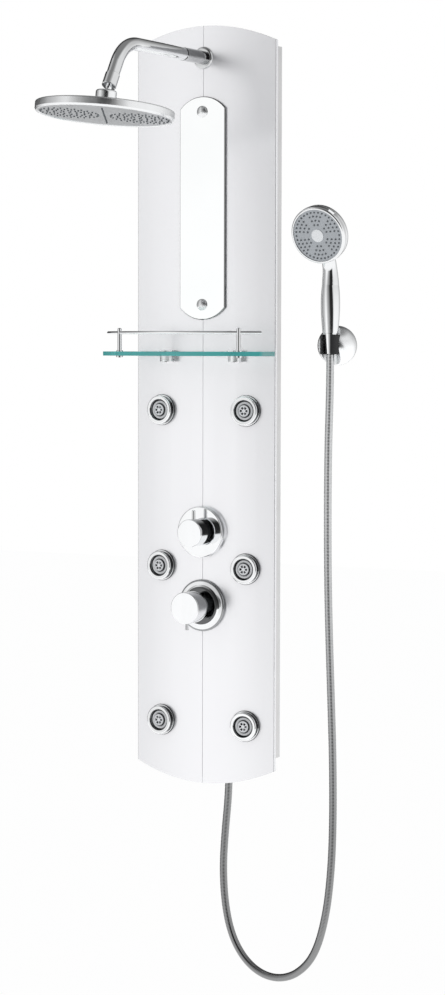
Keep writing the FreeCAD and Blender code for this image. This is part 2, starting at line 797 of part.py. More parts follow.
def mirror_glass():
    """Tall bevelled mirror with arched ends and a hole for each cap."""
    half = MIRROR_WIDTH / 2
    back = mirror_back_y()
    face = arch_outline(half, MIRROR_TOP, MIRROR_BOTTOM, MIRROR_ARCH)
    front = back - MIRROR_GLASS
    glass = upright(face, front, back)
    rim = [edge for edge in glass.Edges if all(abs(v.Y - front) < 1e-6 for v in edge.Vertexes)]
    glass = glass.makeChamfer(MIRROR_BEVEL, rim)
    for z in mirror_cap_heights():
        glass = glass.cut(rod(Vector(0, 0, z), Vector(0, -CLEAR, z), MIRROR_STUD_RADIUS + SEAT_GAP))
    return glass


def mirror_caps():
    """Domed caps whose studs hold the mirror to the panel."""
    edge = MIRROR_CAP_DIAMETER / 2
    stud = MIRROR_GLASS + MIRROR_STAND_OFF + SHEET + 2
    cap = lathe(
        (0, -stud),
        (MIRROR_STUD_RADIUS, -stud),
        (MIRROR_STUD_RADIUS, SEAT_GAP),
        (edge, SEAT_GAP),
        (edge, 1.5),
        dome(edge, 1.5, MIRROR_CAP_DEPTH),
    )
    front = mirror_back_y() - MIRROR_GLASS
    return group([aim(cap, Vector(0, front, z), OUT) for z in mirror_cap_heights()])


def stud_holes():
    """Holes through the panel behind the mirror caps."""
    return [
        rod(Vector(0, 0, z), Vector(0, -CLEAR, z), MIRROR_STUD_RADIUS + SEAT_GAP)
        for z in mirror_cap_heights()
    ]


# ---- glass shelf -----------------------------------------------------------------------------
def arc_y(x, half, front_y, side_y):
    """Y at x on the arc through (0, front_y) and (half, side_y)."""
    rise = side_y - front_y
    radius = (half * half + rise * rise) / (2 * rise)
    return front_y + radius - math.sqrt(radius * radius - x * x)


def glass_shelf():
    """Bow-fronted glass shelf with holes for the posts."""
    corner_x, corner_y = SHELF_CORNER
    face = outline(
        (-SHELF_BACK_HALF, SHELF_BACK_Y),
        (-corner_x, corner_y),
        (0, SHELF_FRONT_Y, corner_x, corner_y),
        (SHELF_BACK_HALF, SHELF_BACK_Y),
    )
    face.translate(Vector(0, 0, SHELF_TOP - SHELF_GLASS))
    glass = face.extrude(UP * SHELF_GLASS)
    upright_edges = []
    for edge in glass.Edges:
        if abs(edge.tangentAt(edge.FirstParameter).dot(UP)) > 0.9:
            upright_edges.append(edge)
    glass = glass.makeFillet(SHELF_CORNER_RADIUS, upright_edges)
    for x in (-POST_X, POST_X):
        glass = glass.cut(rod(Vector(x, POST_Y, 0), Vector(x, POST_Y, POST_TOP), POST_STUD_RADIUS + SEAT_GAP))
    return glass


def gallery_path():
    """Bowed centre line of the rail, through both posts."""
    front = Vector(0, GALLERY_FRONT_Y, GALLERY_Z)
    end_y = arc_y(GALLERY_HALF, POST_X, GALLERY_FRONT_Y, POST_Y)
    left = Vector(-GALLERY_HALF, end_y, GALLERY_Z)
    right = Vector(GALLERY_HALF, end_y, GALLERY_Z)
    return Part.Arc(left, front, right).toShape()


def gallery_bar(radius):
    path = gallery_path()
    start = path.valueAt(path.FirstParameter)
    ring = Part.Wire([Part.Circle(start, path.tangentAt(path.FirstParameter), radius).toShape()])
    return Part.Wire([path]).makePipeShell([ring], True, False)


def rail_posts():
    """Two upright posts with feet on the glass and nuts under it."""
    under = SHELF_TOP - SHELF_GLASS
    stud_end = under - POST_NUT - POST_STUD_END
    post = lathe(
        (0, stud_end),
        (POST_STUD_RADIUS, stud_end),
        (POST_STUD_RADIUS, SHELF_TOP + SEAT_GAP),
        (POST_FOOT_RADIUS, SHELF_TOP + SEAT_GAP),
        (POST_FOOT_RADIUS, SHELF_TOP + POST_FOOT),
        (POST_RADIUS, SHELF_TOP + POST_FOOT + 1),
        (POST_RADIUS, POST_TOP - 1.5),
        dome(POST_RADIUS, POST_TOP - 1.5, POST_TOP),
    )
    posts = []
    for x in (-POST_X, POST_X):
        posts.append(aim(post, Vector(x, POST_Y, 0), UP).cut(gallery_bar(GALLERY_RADIUS + SEAT_GAP)))
    return group(posts)


def post_nuts():
    """Flat nuts that hold the posts from under the glass."""
    under = SHELF_TOP - SHELF_GLASS - SEAT_GAP
    nut = lathe(
        (POST_STUD_RADIUS + SEAT_GAP, under - POST_NUT),
        (POST_FOOT_RADIUS, under - POST_NUT),
        (POST_FOOT_RADIUS, under),
        (POST_STUD_RADIUS + SEAT_GAP, under),
    )
    return group([aim(nut, Vector(x, POST_Y, 0), UP) for x in (-POST_X, POST_X)])


def clamp_grub_y():
    return -PANEL_REACH - CLAMP_REACH * GRUB_PLACE


def shelf_clamps():
    """Two chrome jaws on the panel that grip the back edge of the glass."""
    under = SHELF_TOP - SHELF_GLASS - SEAT_GAP
    over = SHELF_TOP + SEAT_GAP
    wall = SHELF_BACK_Y + SEAT_GAP
    nose = -PANEL_REACH - CLAMP_REACH
    plan = outline(
        (-CLAMP_RADIUS, 0),
        (-CLAMP_RADIUS, nose + CLAMP_RADIUS),
        (0, nose, CLAMP_RADIUS, nose + CLAMP_RADIUS),
        (CLAMP_RADIUS, 0),
    )
    plan.translate(Vector(0, 0, under - CLAMP_BELOW))
    body = plan.extrude(UP * (over + CLAMP_LIP - under + CLAMP_BELOW))
    throat = box(-CLEAR, CLEAR, -CLEAR, wall, under, over)
    above = box(-CLEAR, CLEAR, -CLEAR, SHELF_BACK_Y - CLAMP_LIP_REACH, under, over + CLEAR)
    body = body.cut([throat, above])
    clamps = []
    for x in (-CLAMP_X, CLAMP_X):
        clamp = body.copy()
        clamp.translate(Vector(x, 0, 0))
        clamp = clamp.cut(behind_panel(-SEAT_GAP))
        hole = Vector(x, clamp_grub_y(), under)
        clamps.append(clamp.cut(rod(hole - UP * CLEAR, hole + UP * CLEAR, GRUB_RADIUS + SEAT_GAP)))
    return group(clamps)


def grub_screws():
    """Set screws: one under each shelf clamp and one under the wall holder."""
    under = SHELF_TOP - SHELF_GLASS - SEAT_GAP
    screws = []
    for x in (-CLAMP_X, CLAMP_X):
        tip = Vector(x, clamp_grub_y(), under)
        screws.append(rod(tip - UP * (CLAMP_BELOW + GRUB_PROUD), tip, GRUB_RADIUS))
    low, high = holder_grub_ends()
    screws.append(rod(low, high, GRUB_RADIUS))
    return group(screws)


# ---- controls --------------------------------------------------------------------------------
def panel_front(z):
    return Vector(0, -PANEL_REACH, z)


def control_flange(shape, z):
    """Seats a cover plate on the curved front."""
    return aim(shape, panel_front(z), OUT).cut(behind_panel(-SEAT_GAP))


def diverter_flange():
    """Flat-faced drum on a slightly smaller foot."""
    edge = DIVERTER_FLANGE_RADIUS
    depth = DIVERTER_FLANGE_DEPTH
    bore = KNOB_NECK_RADIUS + RUN_GAP
    return control_flange(lathe(
        (bore, -FLANGE_SKIRT),
        (DIVERTER_FLANGE_FOOT, -FLANGE_SKIRT),
        (DIVERTER_FLANGE_FOOT, 1.0),
        (edge, 0.4 * depth),
        (edge, depth - 2.4),
        (edge - 0.7, depth - 0.7, edge - 2.4, depth),
        (bore, depth),
    ), DIVERTER_Z)


def mixer_flange():
    """Round cover plate with a raised, domed step round the knob."""
    edge = MIXER_FLANGE_RADIUS
    step = MIXER_STEP_RADIUS
    bore = KNOB_NECK_RADIUS + RUN_GAP
    return control_flange(lathe(
        (bore, -FLANGE_SKIRT),
        (edge, -FLANGE_SKIRT),
        (edge, MIXER_FLANGE_DEPTH - 3.0),
        (edge - 0.9, MIXER_FLANGE_DEPTH - 0.9, edge - 3.2, MIXER_FLANGE_DEPTH),
        (step + 1.5, MIXER_FLANGE_DEPTH + 1.0),
        (step, MIXER_FLANGE_DEPTH + 2.0),
        (step - 1.5, MIXER_STEP_DEPTH - 2.2, step - 6, MIXER_STEP_DEPTH - 0.8),
        (bore + 4, MIXER_STEP_DEPTH),
        (bore, MIXER_STEP_DEPTH),
    ), MIXER_Z)


def control_knob(z, radius, reach, cap, pin_back, pin_side):
    """Hollow-backed knob with its neck and spindle; a hole in its rim takes the pin."""
    spindle_end = -SPINDLE_LENGTH
    floor = reach - KNOB_SOLID
    knob = lathe(
        (0, spindle_end),
        (SPINDLE_RADIUS, spindle_end),
        (SPINDLE_RADIUS, -VALVE_SETBACK),
        (KNOB_NECK_RADIUS, -VALVE_SETBACK),
        (KNOB_NECK_RADIUS, floor),
        (radius - KNOB_WALL, floor),
        (radius - KNOB_WALL, reach - cap),
        (radius - 1.0, reach - cap),
        (radius, reach - cap + 1.0),
        (radius, reach - 1.4),
        (radius - 0.4, reach - 0.4, radius - 1.4, reach),
        (0, reach),
    )
    knob = aim(knob, panel_front(z), OUT)
    return knob.cut(control_pin(z, radius, reach, pin_back, pin_side, PIN_DEPTH, SEAT_GAP))


def control_pin(z, radius, reach, back, side, proud, clearance=0.0):
    """Round pin in the knob's rim; side is 1 for up and -1 for down."""
    foot = Vector(0, -PANEL_REACH - reach + back, z + side * (radius - PIN_DEPTH - clearance))
    size = PIN_RADIUS + clearance
    length = PIN_DEPTH + clearance + proud
    pin = lathe((0, 0), (size, 0), (size, length - 1), (size - 1, length), (0, length))
    return aim(pin, foot, UP * side)


def diverter_knob():
    return control_knob(
        DIVERTER_Z, DIVERTER_KNOB_RADIUS, DIVERTER_REACH, DIVERTER_CAP, DIVERTER_PIN_BACK, 1)


def diverter_pin():
    return control_pin(
        DIVERTER_Z, DIVERTER_KNOB_RADIUS, DIVERTER_REACH, DIVERTER_PIN_BACK, 1, DIVERTER_PIN_PROUD)


def mixer_knob():
    return control_knob(MIXER_Z, MIXER_KNOB_RADIUS, MIXER_REACH, MIXER_CAP, MIXER_PIN_BACK, -1)


def mixer_pin():
    return control_pin(MIXER_Z, MIXER_KNOB_RADIUS, MIXER_REACH, MIXER_PIN_BACK, -1, MIXER_PIN_PROUD)


def valve_block(z):
    """Brass body behind a control, bored for the knob's neck and spindle."""
    front = -PANEL_REACH + VALVE_SETBACK + RUN_GAP
    body = rod(Vector(0, VALVE_BACK_Y, z), Vector(0, front, z), VALVE_RADIUS)
    back = Vector(0, -PANEL_REACH + SPINDLE_LENGTH + RUN_GAP, z)
    return body, rod(back, back + OUT * SPINDLE_LENGTH, SPINDLE_RADIUS + RUN_GAP)


def diverter_valve():
    """Body that sends the water to the rain head, the jets or the hand shower."""
    body, bore = valve_block(DIVERTER_Z)
    middle = Vector(0, OUTLET_Y, DIVERTER_Z)
    branch = rod(middle, middle + ALONG * OUTLET_X, OUTLET_TUBE_RADIUS + VALVE_BRANCH_WALL)
    return body.fuse(branch).removeSplitter().cut([bore, outlet_tube(SEAT_GAP)])


def mixer_valve():
    """Body that mixes hot and cold water, with a bar to both inlets and a tube to the diverter."""
    body, bore = valve_block(MIXER_Z)
    half = INLET_SPACING / 2 + INLET_BAR_RADIUS
    bar = rod(Vector(-half, INLET_Y, MIXER_Z), Vector(half, INLET_Y, MIXER_Z), INLET_BAR_RADIUS)
    top = DIVERTER_Z - VALVE_RADIUS - SEAT_GAP
    link = rod(Vector(0, LINK_Y, MIXER_Z), Vector(0, LINK_Y, top), LINK_RADIUS)
    return body.fuse([bar, link]).removeSplitter().cut([bore] + inlet_bodies(SEAT_GAP))


def inlet_bodies(clearance):
    """Threaded stubs toward the wall, each on a six-sided shoulder."""
    stub = Part.makeCylinder(INLET_RADIUS + clearance, INLET_LENGTH)
    corners = hexagon(INLET_HEX_RADIUS + clearance, INLET_LENGTH)
    shoulder = Part.Face(corners).extrude(UP * (INLET_HEX_LENGTH + clearance))
    stub = stub.fuse(shoulder).removeSplitter()
    return [
        aim(stub, Vector(x, INLET_END_Y, MIXER_Z), OUT)
        for x in (-INLET_SPACING / 2, INLET_SPACING / 2)
    ]


def supply_inlets():
    return group(inlet_bodies(0))


# ---- body jets -------------------------------------------------------------------------------
def on_jet(shape, place):
    return aim(shape, place, panel_normal(place.x))


def jet_bezel(place):
    """Turned housing: a flange on the panel, a waist, a rounded rim and a threaded shank."""
    bezel = lathe(
        (JET_BORE_RADIUS, -JET_SHANK),
        (JET_SHANK_RADIUS, -JET_SHANK),
        (JET_SHANK_RADIUS, -1),
        (JET_FLANGE_RADIUS, -1),
        (JET_FLANGE_RADIUS, 1.6),
        (JET_FLANGE_RADIUS - 0.8, 3.0, JET_FLANGE_RADIUS - 2.2, 3.4),
        (JET_WAIST_RADIUS, 4.0),
        (JET_WAIST_RADIUS, 5.6),
        (JET_RIM_RADIUS, 6.4),
        (JET_RIM_RADIUS, JET_DEPTH - 2.4),
        (JET_RIM_RADIUS - 0.9, JET_DEPTH - 0.5, JET_RIM_RADIUS - 3.2, JET_DEPTH),
        (JET_MOUTH_RADIUS + 1.6, JET_DEPTH),
        (JET_MOUTH_RADIUS, JET_DEPTH - 1.4),
        (JET_LIP_RADIUS, JET_DEPTH - 4.0),
        (JET_LIP_RADIUS, JET_LIP_BACK),
        (JET_BORE_RADIUS, JET_LIP_BACK),
    )
    return on_jet(bezel, place).cut(behind_panel(-SEAT_GAP).cut(jet_passage(place)))


def jet_passage(place):
    """Space of the shank behind the panel's front."""
    normal = panel_normal(place.x)
    return rod(place - normal * CLEAR, place + normal * JET_LIP_BACK, JET_SHANK_RADIUS)


def jet_lock_nut(place):
    """Flat nut that clamps a jet from behind the panel."""
    seat = -SHEET - JET_NUT_GAP
    nut = lathe(
        (JET_SHANK_RADIUS + SEAT_GAP, seat - JET_NUT),
        (JET_NUT_RADIUS, seat - JET_NUT),
        (JET_NUT_RADIUS, seat),
        (JET_SHANK_RADIUS + SEAT_GAP, seat),
    )
    return on_jet(nut, place)


def jet_ring(place):
    """Seal ring that turns in the housing and carries the ball."""
    inside = JET_BALL_RADIUS + RUN_GAP
    outside = JET_BORE_RADIUS - RUN_GAP
    nose = JET_LIP_RADIUS - RUN_GAP
    half = JET_RING_HEIGHT / 2
    throat = zone_radius(inside, half)
    grip = zone_radius(inside, JET_GRIP)
    middle = JET_BALL_DEPTH
    return on_jet(lathe(
        (throat, middle - half),
        (outside, middle - half),
        (outside, JET_LIP_BACK - RUN_GAP),
        (nose, JET_LIP_BACK - RUN_GAP),
        (nose, middle + half - 0.8),
        (nose - 0.8, middle + half),
        (grip + JET_GROOVE, middle + half),
        (grip, middle + JET_GRIP),
        (inside, middle, throat, middle - half),
    ), place)


def jet_ball(place):
    """Ball nozzle with a dished front and a ring of spray holes."""
    face = JET_BALL_FACE
    rim = zone_radius(JET_BALL_RADIUS, face)
    tail = zone_radius(JET_BALL_RADIUS, JET_BALL_BACK)
    ball = lathe(
        (0, JET_BALL_BACK),
        (tail, JET_BALL_BACK),
        (JET_BALL_RADIUS, 0, rim, face),
        (rim - 0.7, face + 0.5),
        (rim - 1.5, face),
        (rim - 2.2, face - JET_BALL_DISH),
        (0, face - JET_BALL_DISH),
    )
    for index in range(JET_SPRAY_HOLES):
        angle = 2 * math.pi * index / JET_SPRAY_HOLES
        x = JET_SPRAY_CIRCLE * math.cos(angle)
        y = JET_SPRAY_CIRCLE * math.sin(angle)
        foot = Vector(x, y, face - JET_SPRAY_DEPTH)
        ball = ball.cut(Part.makeCylinder(JET_SPRAY_RADIUS, CLEAR, foot, UP))
    ball.translate(UP * JET_BALL_DEPTH)
    return on_jet(ball, place)


# ---- waterways -------------------------------------------------------------------------------
def riser_tube():
    """Tube from the diverter up to the arm, with a capped head behind the sleeve's tail."""
    bottom = Vector(0, RISER_Y, DIVERTER_Z + VALVE_RADIUS + SEAT_GAP)
    top = Vector(0, RISER_Y, ARM_Z)
    front = Vector(0, SLEEVE_TAIL_Y + SEAT_GAP, ARM_Z)
    head = rod(front, top - OUT * (TUBE_RADIUS + RISER_CAP), INLET_HEX_RADIUS)
    return rod(bottom, top, TUBE_RADIUS).fuse(head).removeSplitter()


def jet_manifold():
    """Two tubes behind the rows of jets, with a cross tube fed by the diverter."""
    top = JET_TOP_Z + MANIFOLD_END
    bottom = JET_TOP_Z - (JET_ROWS - 1) * JET_PITCH - MANIFOLD_END
    level = Vector(0, LINK_Y, MANIFOLD_CROSS_Z)
    pieces = [rod(Vector(0, LINK_Y, DIVERTER_Z + VALVE_RADIUS + SEAT_GAP), level, LINK_RADIUS)]
    for x in (-MANIFOLD_X, MANIFOLD_X):
        corner = level + ALONG * x
        pieces.append(rod(level, corner, LINK_RADIUS))
        pieces.append(rod(corner, Vector(x, MANIFOLD_Y, MANIFOLD_CROSS_Z), LINK_RADIUS))
        pieces.append(rod(Vector(x, MANIFOLD_Y, bottom), Vector(x, MANIFOLD_Y, top), TUBE_RADIUS))
    bores = []
    for _, place in jet_places():
        normal = panel_normal(place.x)
        front = place + normal * (JET_BALL_DEPTH - JET_RING_HEIGHT / 2 - RUN_GAP)
        back = place - normal * (JET_SHANK + FEED_TAIL)
        pieces.append(rod(back, front, JET_BORE_RADIUS - SEAT_GAP))
        bores.append(rod(back + normal * FEED_FLOOR, front + normal, JET_FEED_BORE))
    return pieces[0].fuse(pieces[1:]).removeSplitter().cut(bores)


def outlet_tube(clearance):
    """Tube from the diverter down to the hose outlet."""
    top = Vector(OUTLET_X, OUTLET_Y, DIVERTER_Z + OUTLET_RISE)
    bottom = Vector(OUTLET_X, OUTLET_Y, OUTLET_END_Z)
    return rod(bottom, top, OUTLET_TUBE_RADIUS + clearance)


def hose_outlet():
    """Tube to the hand shower with its threaded end under the frame."""
    end = Vector(OUTLET_X, OUTLET_Y, OUTLET_END_Z)
    thread = rod(end, end + UP * OUTLET_THREAD, HOSE_NUT_RADIUS - HOSE_NUT_WALL)
    return outlet_tube(0).fuse(thread).removeSplitter()


# ---- hand shower -----------------------------------------------------------------------------
def face_axis():
    """Direction in which the hand shower sprays."""
    drop = math.radians(FACE_DROP)
    return Vector(0, -math.cos(drop), -math.sin(drop))


def on_hand(shape):
    """Places a shape, drawn with its face toward +Z, on the hand shower's head."""
    return aim(shape, FACE_CENTRE, face_axis())


def ring_at(centre, normal, radius):
    """A closed circle; circles tilted forward all start on the same side."""
    ring = Part.Wire([Part.Circle(Vector(0, 0, 0), UP, radius).toShape()])
    return aim(ring, centre, normal)


def hand_grip():
    """Straight, waisted part of the handle, turned about its own axis."""
    side = Part.BSplineCurve()
    side.interpolate([Vector(radius, 0, height) for height, radius in HANDLE_STATIONS])
    low = UP * HANDLE_STATIONS[0][0]
    high = UP * HANDLE_STATIONS[-1][0]
    ends = Part.makePolygon([side.EndPoint, high, low, side.StartPoint])
    section = Part.Face(Part.Wire([side.toShape()] + ends.Edges))
    return aim(section.revolve(Vector(0, 0, 0), UP, 360), SOCKET_TOP, UP)


def hand_neck():
    """Bent part of the handle; its stations give how far forward, how high and how thick it is."""
    height, radius = HANDLE_STATIONS[-1]
    centres = [SOCKET_TOP + UP * height]
    radii = [radius]
    for forward, height, radius in NECK_STATIONS:
        centres.append(SOCKET_TOP + OUT * forward + UP * height)
        radii.append(radius)
    sections = [ring_at(centres[0], UP, radii[0])]
    for index in range(1, len(centres)):
        after = min(index + 1, len(centres) - 1)
        sections.append(ring_at(centres[index], centres[after] - centres[index - 1], radii[index]))
    return Part.makeLoft(sections, True, False)


def handset_shell():
    """Handle and back of the head as one moulding."""
    joint = -RING_DEPTH - RUN_GAP
    dome_edge = -HAND_BODY_DEPTH + HAND_BACK_DOME
    back = on_hand(lathe(
        (0, joint),
        (RING_RADIUS - 1.2, joint),
        (RING_RADIUS - 0.4, joint - 3),
        (RING_RADIUS - 1.0, joint - HAND_BODY_DRUM),
        (RING_RADIUS - 7.5, joint - HAND_BODY_DRUM - 7.5, HAND_BACK_RADIUS, dome_edge),
        dome(HAND_BACK_RADIUS, dome_edge, -HAND_BODY_DEPTH),
    ))
    front = on_hand(Part.makeCylinder(RING_RADIUS, CLEAR, Vector(0, 0, joint)))
    return back.fuse([hand_grip(), hand_neck().cut(front)]).removeSplitter()


def handset_selector_ring():
    """Chrome ring with a finger tab that turns to change the spray."""
    inner = FACE_RADIUS + RUN_GAP
    ring = lathe(
        (inner, -RING_DEPTH),
        (RING_RADIUS, -RING_DEPTH),
        (RING_RADIUS, -4),
        (RING_RADIUS - 0.8, -1.2, RING_RADIUS - 3, 0.4),
        (inner, 0.4),
    )
    tab = box(-TAB_WIDTH / 2, TAB_WIDTH / 2, RING_RADIUS - 2, RING_RADIUS + TAB_PROUD, -RING_DEPTH + 1, -2)
    tab.rotate(Vector(0, 0, 0), UP, -TAB_TURN)
    return on_hand(ring.fuse(tab).removeSplitter())


def handset_face():
    """Slightly domed nozzle plate of the hand shower."""
    back = -RING_DEPTH - RUN_GAP + SEAT_GAP
    return on_hand(lathe(
        (0, back),
        (FACE_RADIUS, back),
        (FACE_RADIUS, -FACE_DOME),
        dome(FACE_RADIUS, -FACE_DOME, 0),
    ))


def hand_nozzle_places():
    """Outer ring of nozzles and six wedge-shaped groups."""
    places = []
    count = round(2 * math.pi * HAND_OUTER_RING / HAND_RING_PITCH)
    for index in range(count):
        angle = 2 * math.pi * index / count
        places.append((HAND_OUTER_RING * math.cos(angle), HAND_OUTER_RING * math.sin(angle)))
    for sector in range(HAND_SECTORS):
        middle = 2 * math.pi * (sector + 0.5) / HAND_SECTORS
        for row, row_radius in enumerate(HAND_SECTOR_ROWS):
            row_count = len(HAND_SECTOR_ROWS) + 1 - row
            for index in range(row_count):
                angle = middle + (index - (row_count - 1) / 2) * HAND_NOZZLE_PITCH / row_radius
                places.append((row_radius * math.cos(angle), row_radius * math.sin(angle)))
    return places


def handset_nozzles():
    one = nozzle(NOZZLE_RADIUS, NOZZLE_TIP_RADIUS, NOZZLE_HEIGHT)
    one.rotate(Vector(0, 0, 0), ALONG, 180)
    nozzles = []
    for x, y in hand_nozzle_places():
        copy = one.copy()
        copy.translate(Vector(x, y, SEAT_GAP - FACE_DOME * (x * x + y * y) / FACE_RADIUS ** 2))
        nozzles.append(copy)
    return on_hand(group(nozzles))


def handset_cap():
    """Round cover over the middle screw of the face."""
    return on_hand(lathe(
        (0, 0.05),
        (HAND_CAP_RADIUS, 0.05),
        (HAND_CAP_RADIUS, 0.8),
        dome(HAND_CAP_RADIUS, 0.8, 1.8),
    ))


def cone_radius(s):
    """Radius of the cone nut at a distance below the socket's top."""
    share = -s / CONE_LENGTH
    return CONE_TOP_RADIUS + share * (CONE_BOTTOM_RADIUS - CONE_TOP_RADIUS)


def cone_nut():
    """Tapered hose nut that sits in the holder."""
    nut = lathe(
        (0, -CONE_LENGTH),
        (CONE_BOTTOM_RADIUS, -CONE_LENGTH),
        (CONE_TOP_RADIUS, 0),
        (CONE_TOP_RADIUS, 1 - SEAT_GAP),
        (0, 1 - SEAT_GAP),
    )
    return aim(nut, SOCKET_TOP, UP)


# ---- wall holder -----------------------------------------------------------------------------
def holder_clip():
    """Tapered, slotted sleeve that holds the cone nut."""
    bottom = CLIP_TOP - CLIP_LENGTH
    sleeve = lathe(
        (cone_radius(bottom) + RUN_GAP, bottom),
        (CLIP_RADIUS - 1, bottom),
        (CLIP_RADIUS, bottom + 1),
        (CLIP_RADIUS, CLIP_TOP - 1),
        (CLIP_RADIUS - 1, CLIP_TOP),
        (cone_radius(CLIP_TOP) + RUN_GAP, CLIP_TOP),
    )
    slot = box(-CLIP_SLOT / 2, CLIP_SLOT / 2, -CLEAR, 0, -CLEAR, CLEAR)
    return aim(sleeve.cut(slot), SOCKET_TOP, UP)


def holder_ball():
    """Round wall holder with a deep upright groove for the clip and a recess for the base."""
    middle = -HOLDER_CENTRE.y
    foot = math.sqrt(HOLDER_RADIUS ** 2 - middle ** 2)
    ball = lathe(
        (0, BASE_DEPTH + SEAT_GAP),
        (BASE_RADIUS + SEAT_GAP, BASE_DEPTH + SEAT_GAP),
        (BASE_RADIUS + SEAT_GAP, 0),
        (foot, 0),
        (HOLDER_RADIUS, middle, 0, middle + HOLDER_RADIUS),
    )
    ball = aim(ball, Vector(HOLDER_CENTRE.x, 0, HOLDER_CENTRE.z), OUT)
    groove = rod(SOCKET_TOP - UP * CLEAR, SOCKET_TOP + UP * CLEAR, CLIP_RADIUS + SEAT_GAP)
    low, high = holder_grub_ends()
    return ball.cut([groove, rod(low - UP * CLEAR, high, GRUB_RADIUS + SEAT_GAP)])


def holder_base():
    """Disc that is screwed to the wall and carries the ball."""
    wall = Vector(HOLDER_CENTRE.x, 0, HOLDER_CENTRE.z)
    disc = rod(wall, wall + OUT * BASE_DEPTH, BASE_RADIUS)
    for side in (-1, 1):
        hole = wall + ALONG * (side * BASE_HOLE_SPACING / 2)
        disc = disc.cut(rod(hole - OUT * CLEAR, hole + OUT * CLEAR, BASE_HOLE_RADIUS))
    return disc


def holder_grub_ends():
    """Bottom and top of the set screw that locks the ball on its base."""
    y = -BASE_DEPTH / 2
    drop = math.sqrt(HOLDER_RADIUS ** 2 - (y - HOLDER_CENTRE.y) ** 2)
    low = Vector(HOLDER_CENTRE.x, y, HOLDER_CENTRE.z - drop + 1)
    high = Vector(HOLDER_CENTRE.x, y, HOLDER_CENTRE.z - BASE_RADIUS - SEAT_GAP)
    return low, high


# ---- hose ------------------------------------------------------------------------------------
def hose_ends():
    """Where the hose leaves its outlet nut and where it meets the cone nut."""
    start = Vector(OUTLET_X, OUTLET_Y, OUTLET_END_Z + HOSE_NUT_FLOOR - HOSE_NUT_LENGTH)
    end = SOCKET_TOP - UP * CONE_LENGTH
    return start, end


def hose_nut():
    """Nut that joins the hose to the outlet."""
    start, _ = hose_ends()
    bore = HOSE_DIAMETER / 2 - 1
    thread = HOSE_NUT_RADIUS - HOSE_NUT_WALL + SEAT_GAP
    nut = lathe(
        (bore, 0),
        (HOSE_NUT_RADIUS - 1.5, 0),
        (HOSE_NUT_RADIUS, 4),
        (HOSE_NUT_RADIUS, HOSE_NUT_LENGTH),
        (thread, HOSE_NUT_LENGTH),
        (thread, HOSE_NUT_LENGTH - OUTLET_THREAD - SEAT_GAP),
        (bore, HOSE_NUT_LENGTH - OUTLET_THREAD - SEAT_GAP),
    )
    return aim(nut, start, UP)


def hose_points():
    """Corner points of the route, leaving each end square to its nut."""
    start, end = hose_ends()
    points = [start]
    for x, z in HOSE_BENDS:
        share = (x - start.x) / (end.x - start.x)
        share = min(max(share, 0.0), 1.0)
        points.append(Vector(x, start.y + share * (end.y - start.y), z))
    points.append(end)
    return points


def rounded_path(points):
    """Straight runs joined by tangent arcs, each as large as its two runs allow."""
    edges = []
    radii = []
    here = points[0]
    for before, corner, after in zip(points, points[1:], points[2:]):
        back = before - corner
        ahead = after - corner
        turn = math.pi - back.getAngle(ahead)
        trim = 0.45 * min(back.Length, ahead.Length)
        radius = trim / math.tan(turn / 2)
        back.normalize()
        ahead.normalize()
        first = corner + back * trim
        last = corner + ahead * trim
        bisector = back + ahead
        bisector.normalize()
        middle = corner + bisector * (radius / math.cos(turn / 2) - radius)
        edges.append(Part.LineSegment(here, first).toShape())
        edges.append(Part.Arc(first, middle, last).toShape())
        radii.append(radius)
        here = last
    edges.append(Part.LineSegment(here, points[-1]).toShape())
    return Part.Wire(edges), radii


def shower_hose():
    """Metal hose that hangs in a loop from the outlet to the hand shower."""
    points = hose_points()
    path, radii = rounded_path(points)
    ring = ring_at(points[0], points[1] - points[0], HOSE_DIAMETER / 2)
    tube = path.makePipeShell([ring], True, False)
    section = math.pi * HOSE_DIAMETER ** 2 / 4
    print("hose length %.0f mm" % path.Length)
    print("hose volume / (section x length) %.4f" % (tube.Volume / (section * path.Length)))
    print("hose bend radii mm", " ".join("%.0f" % radius for radius in radii))
    return tube


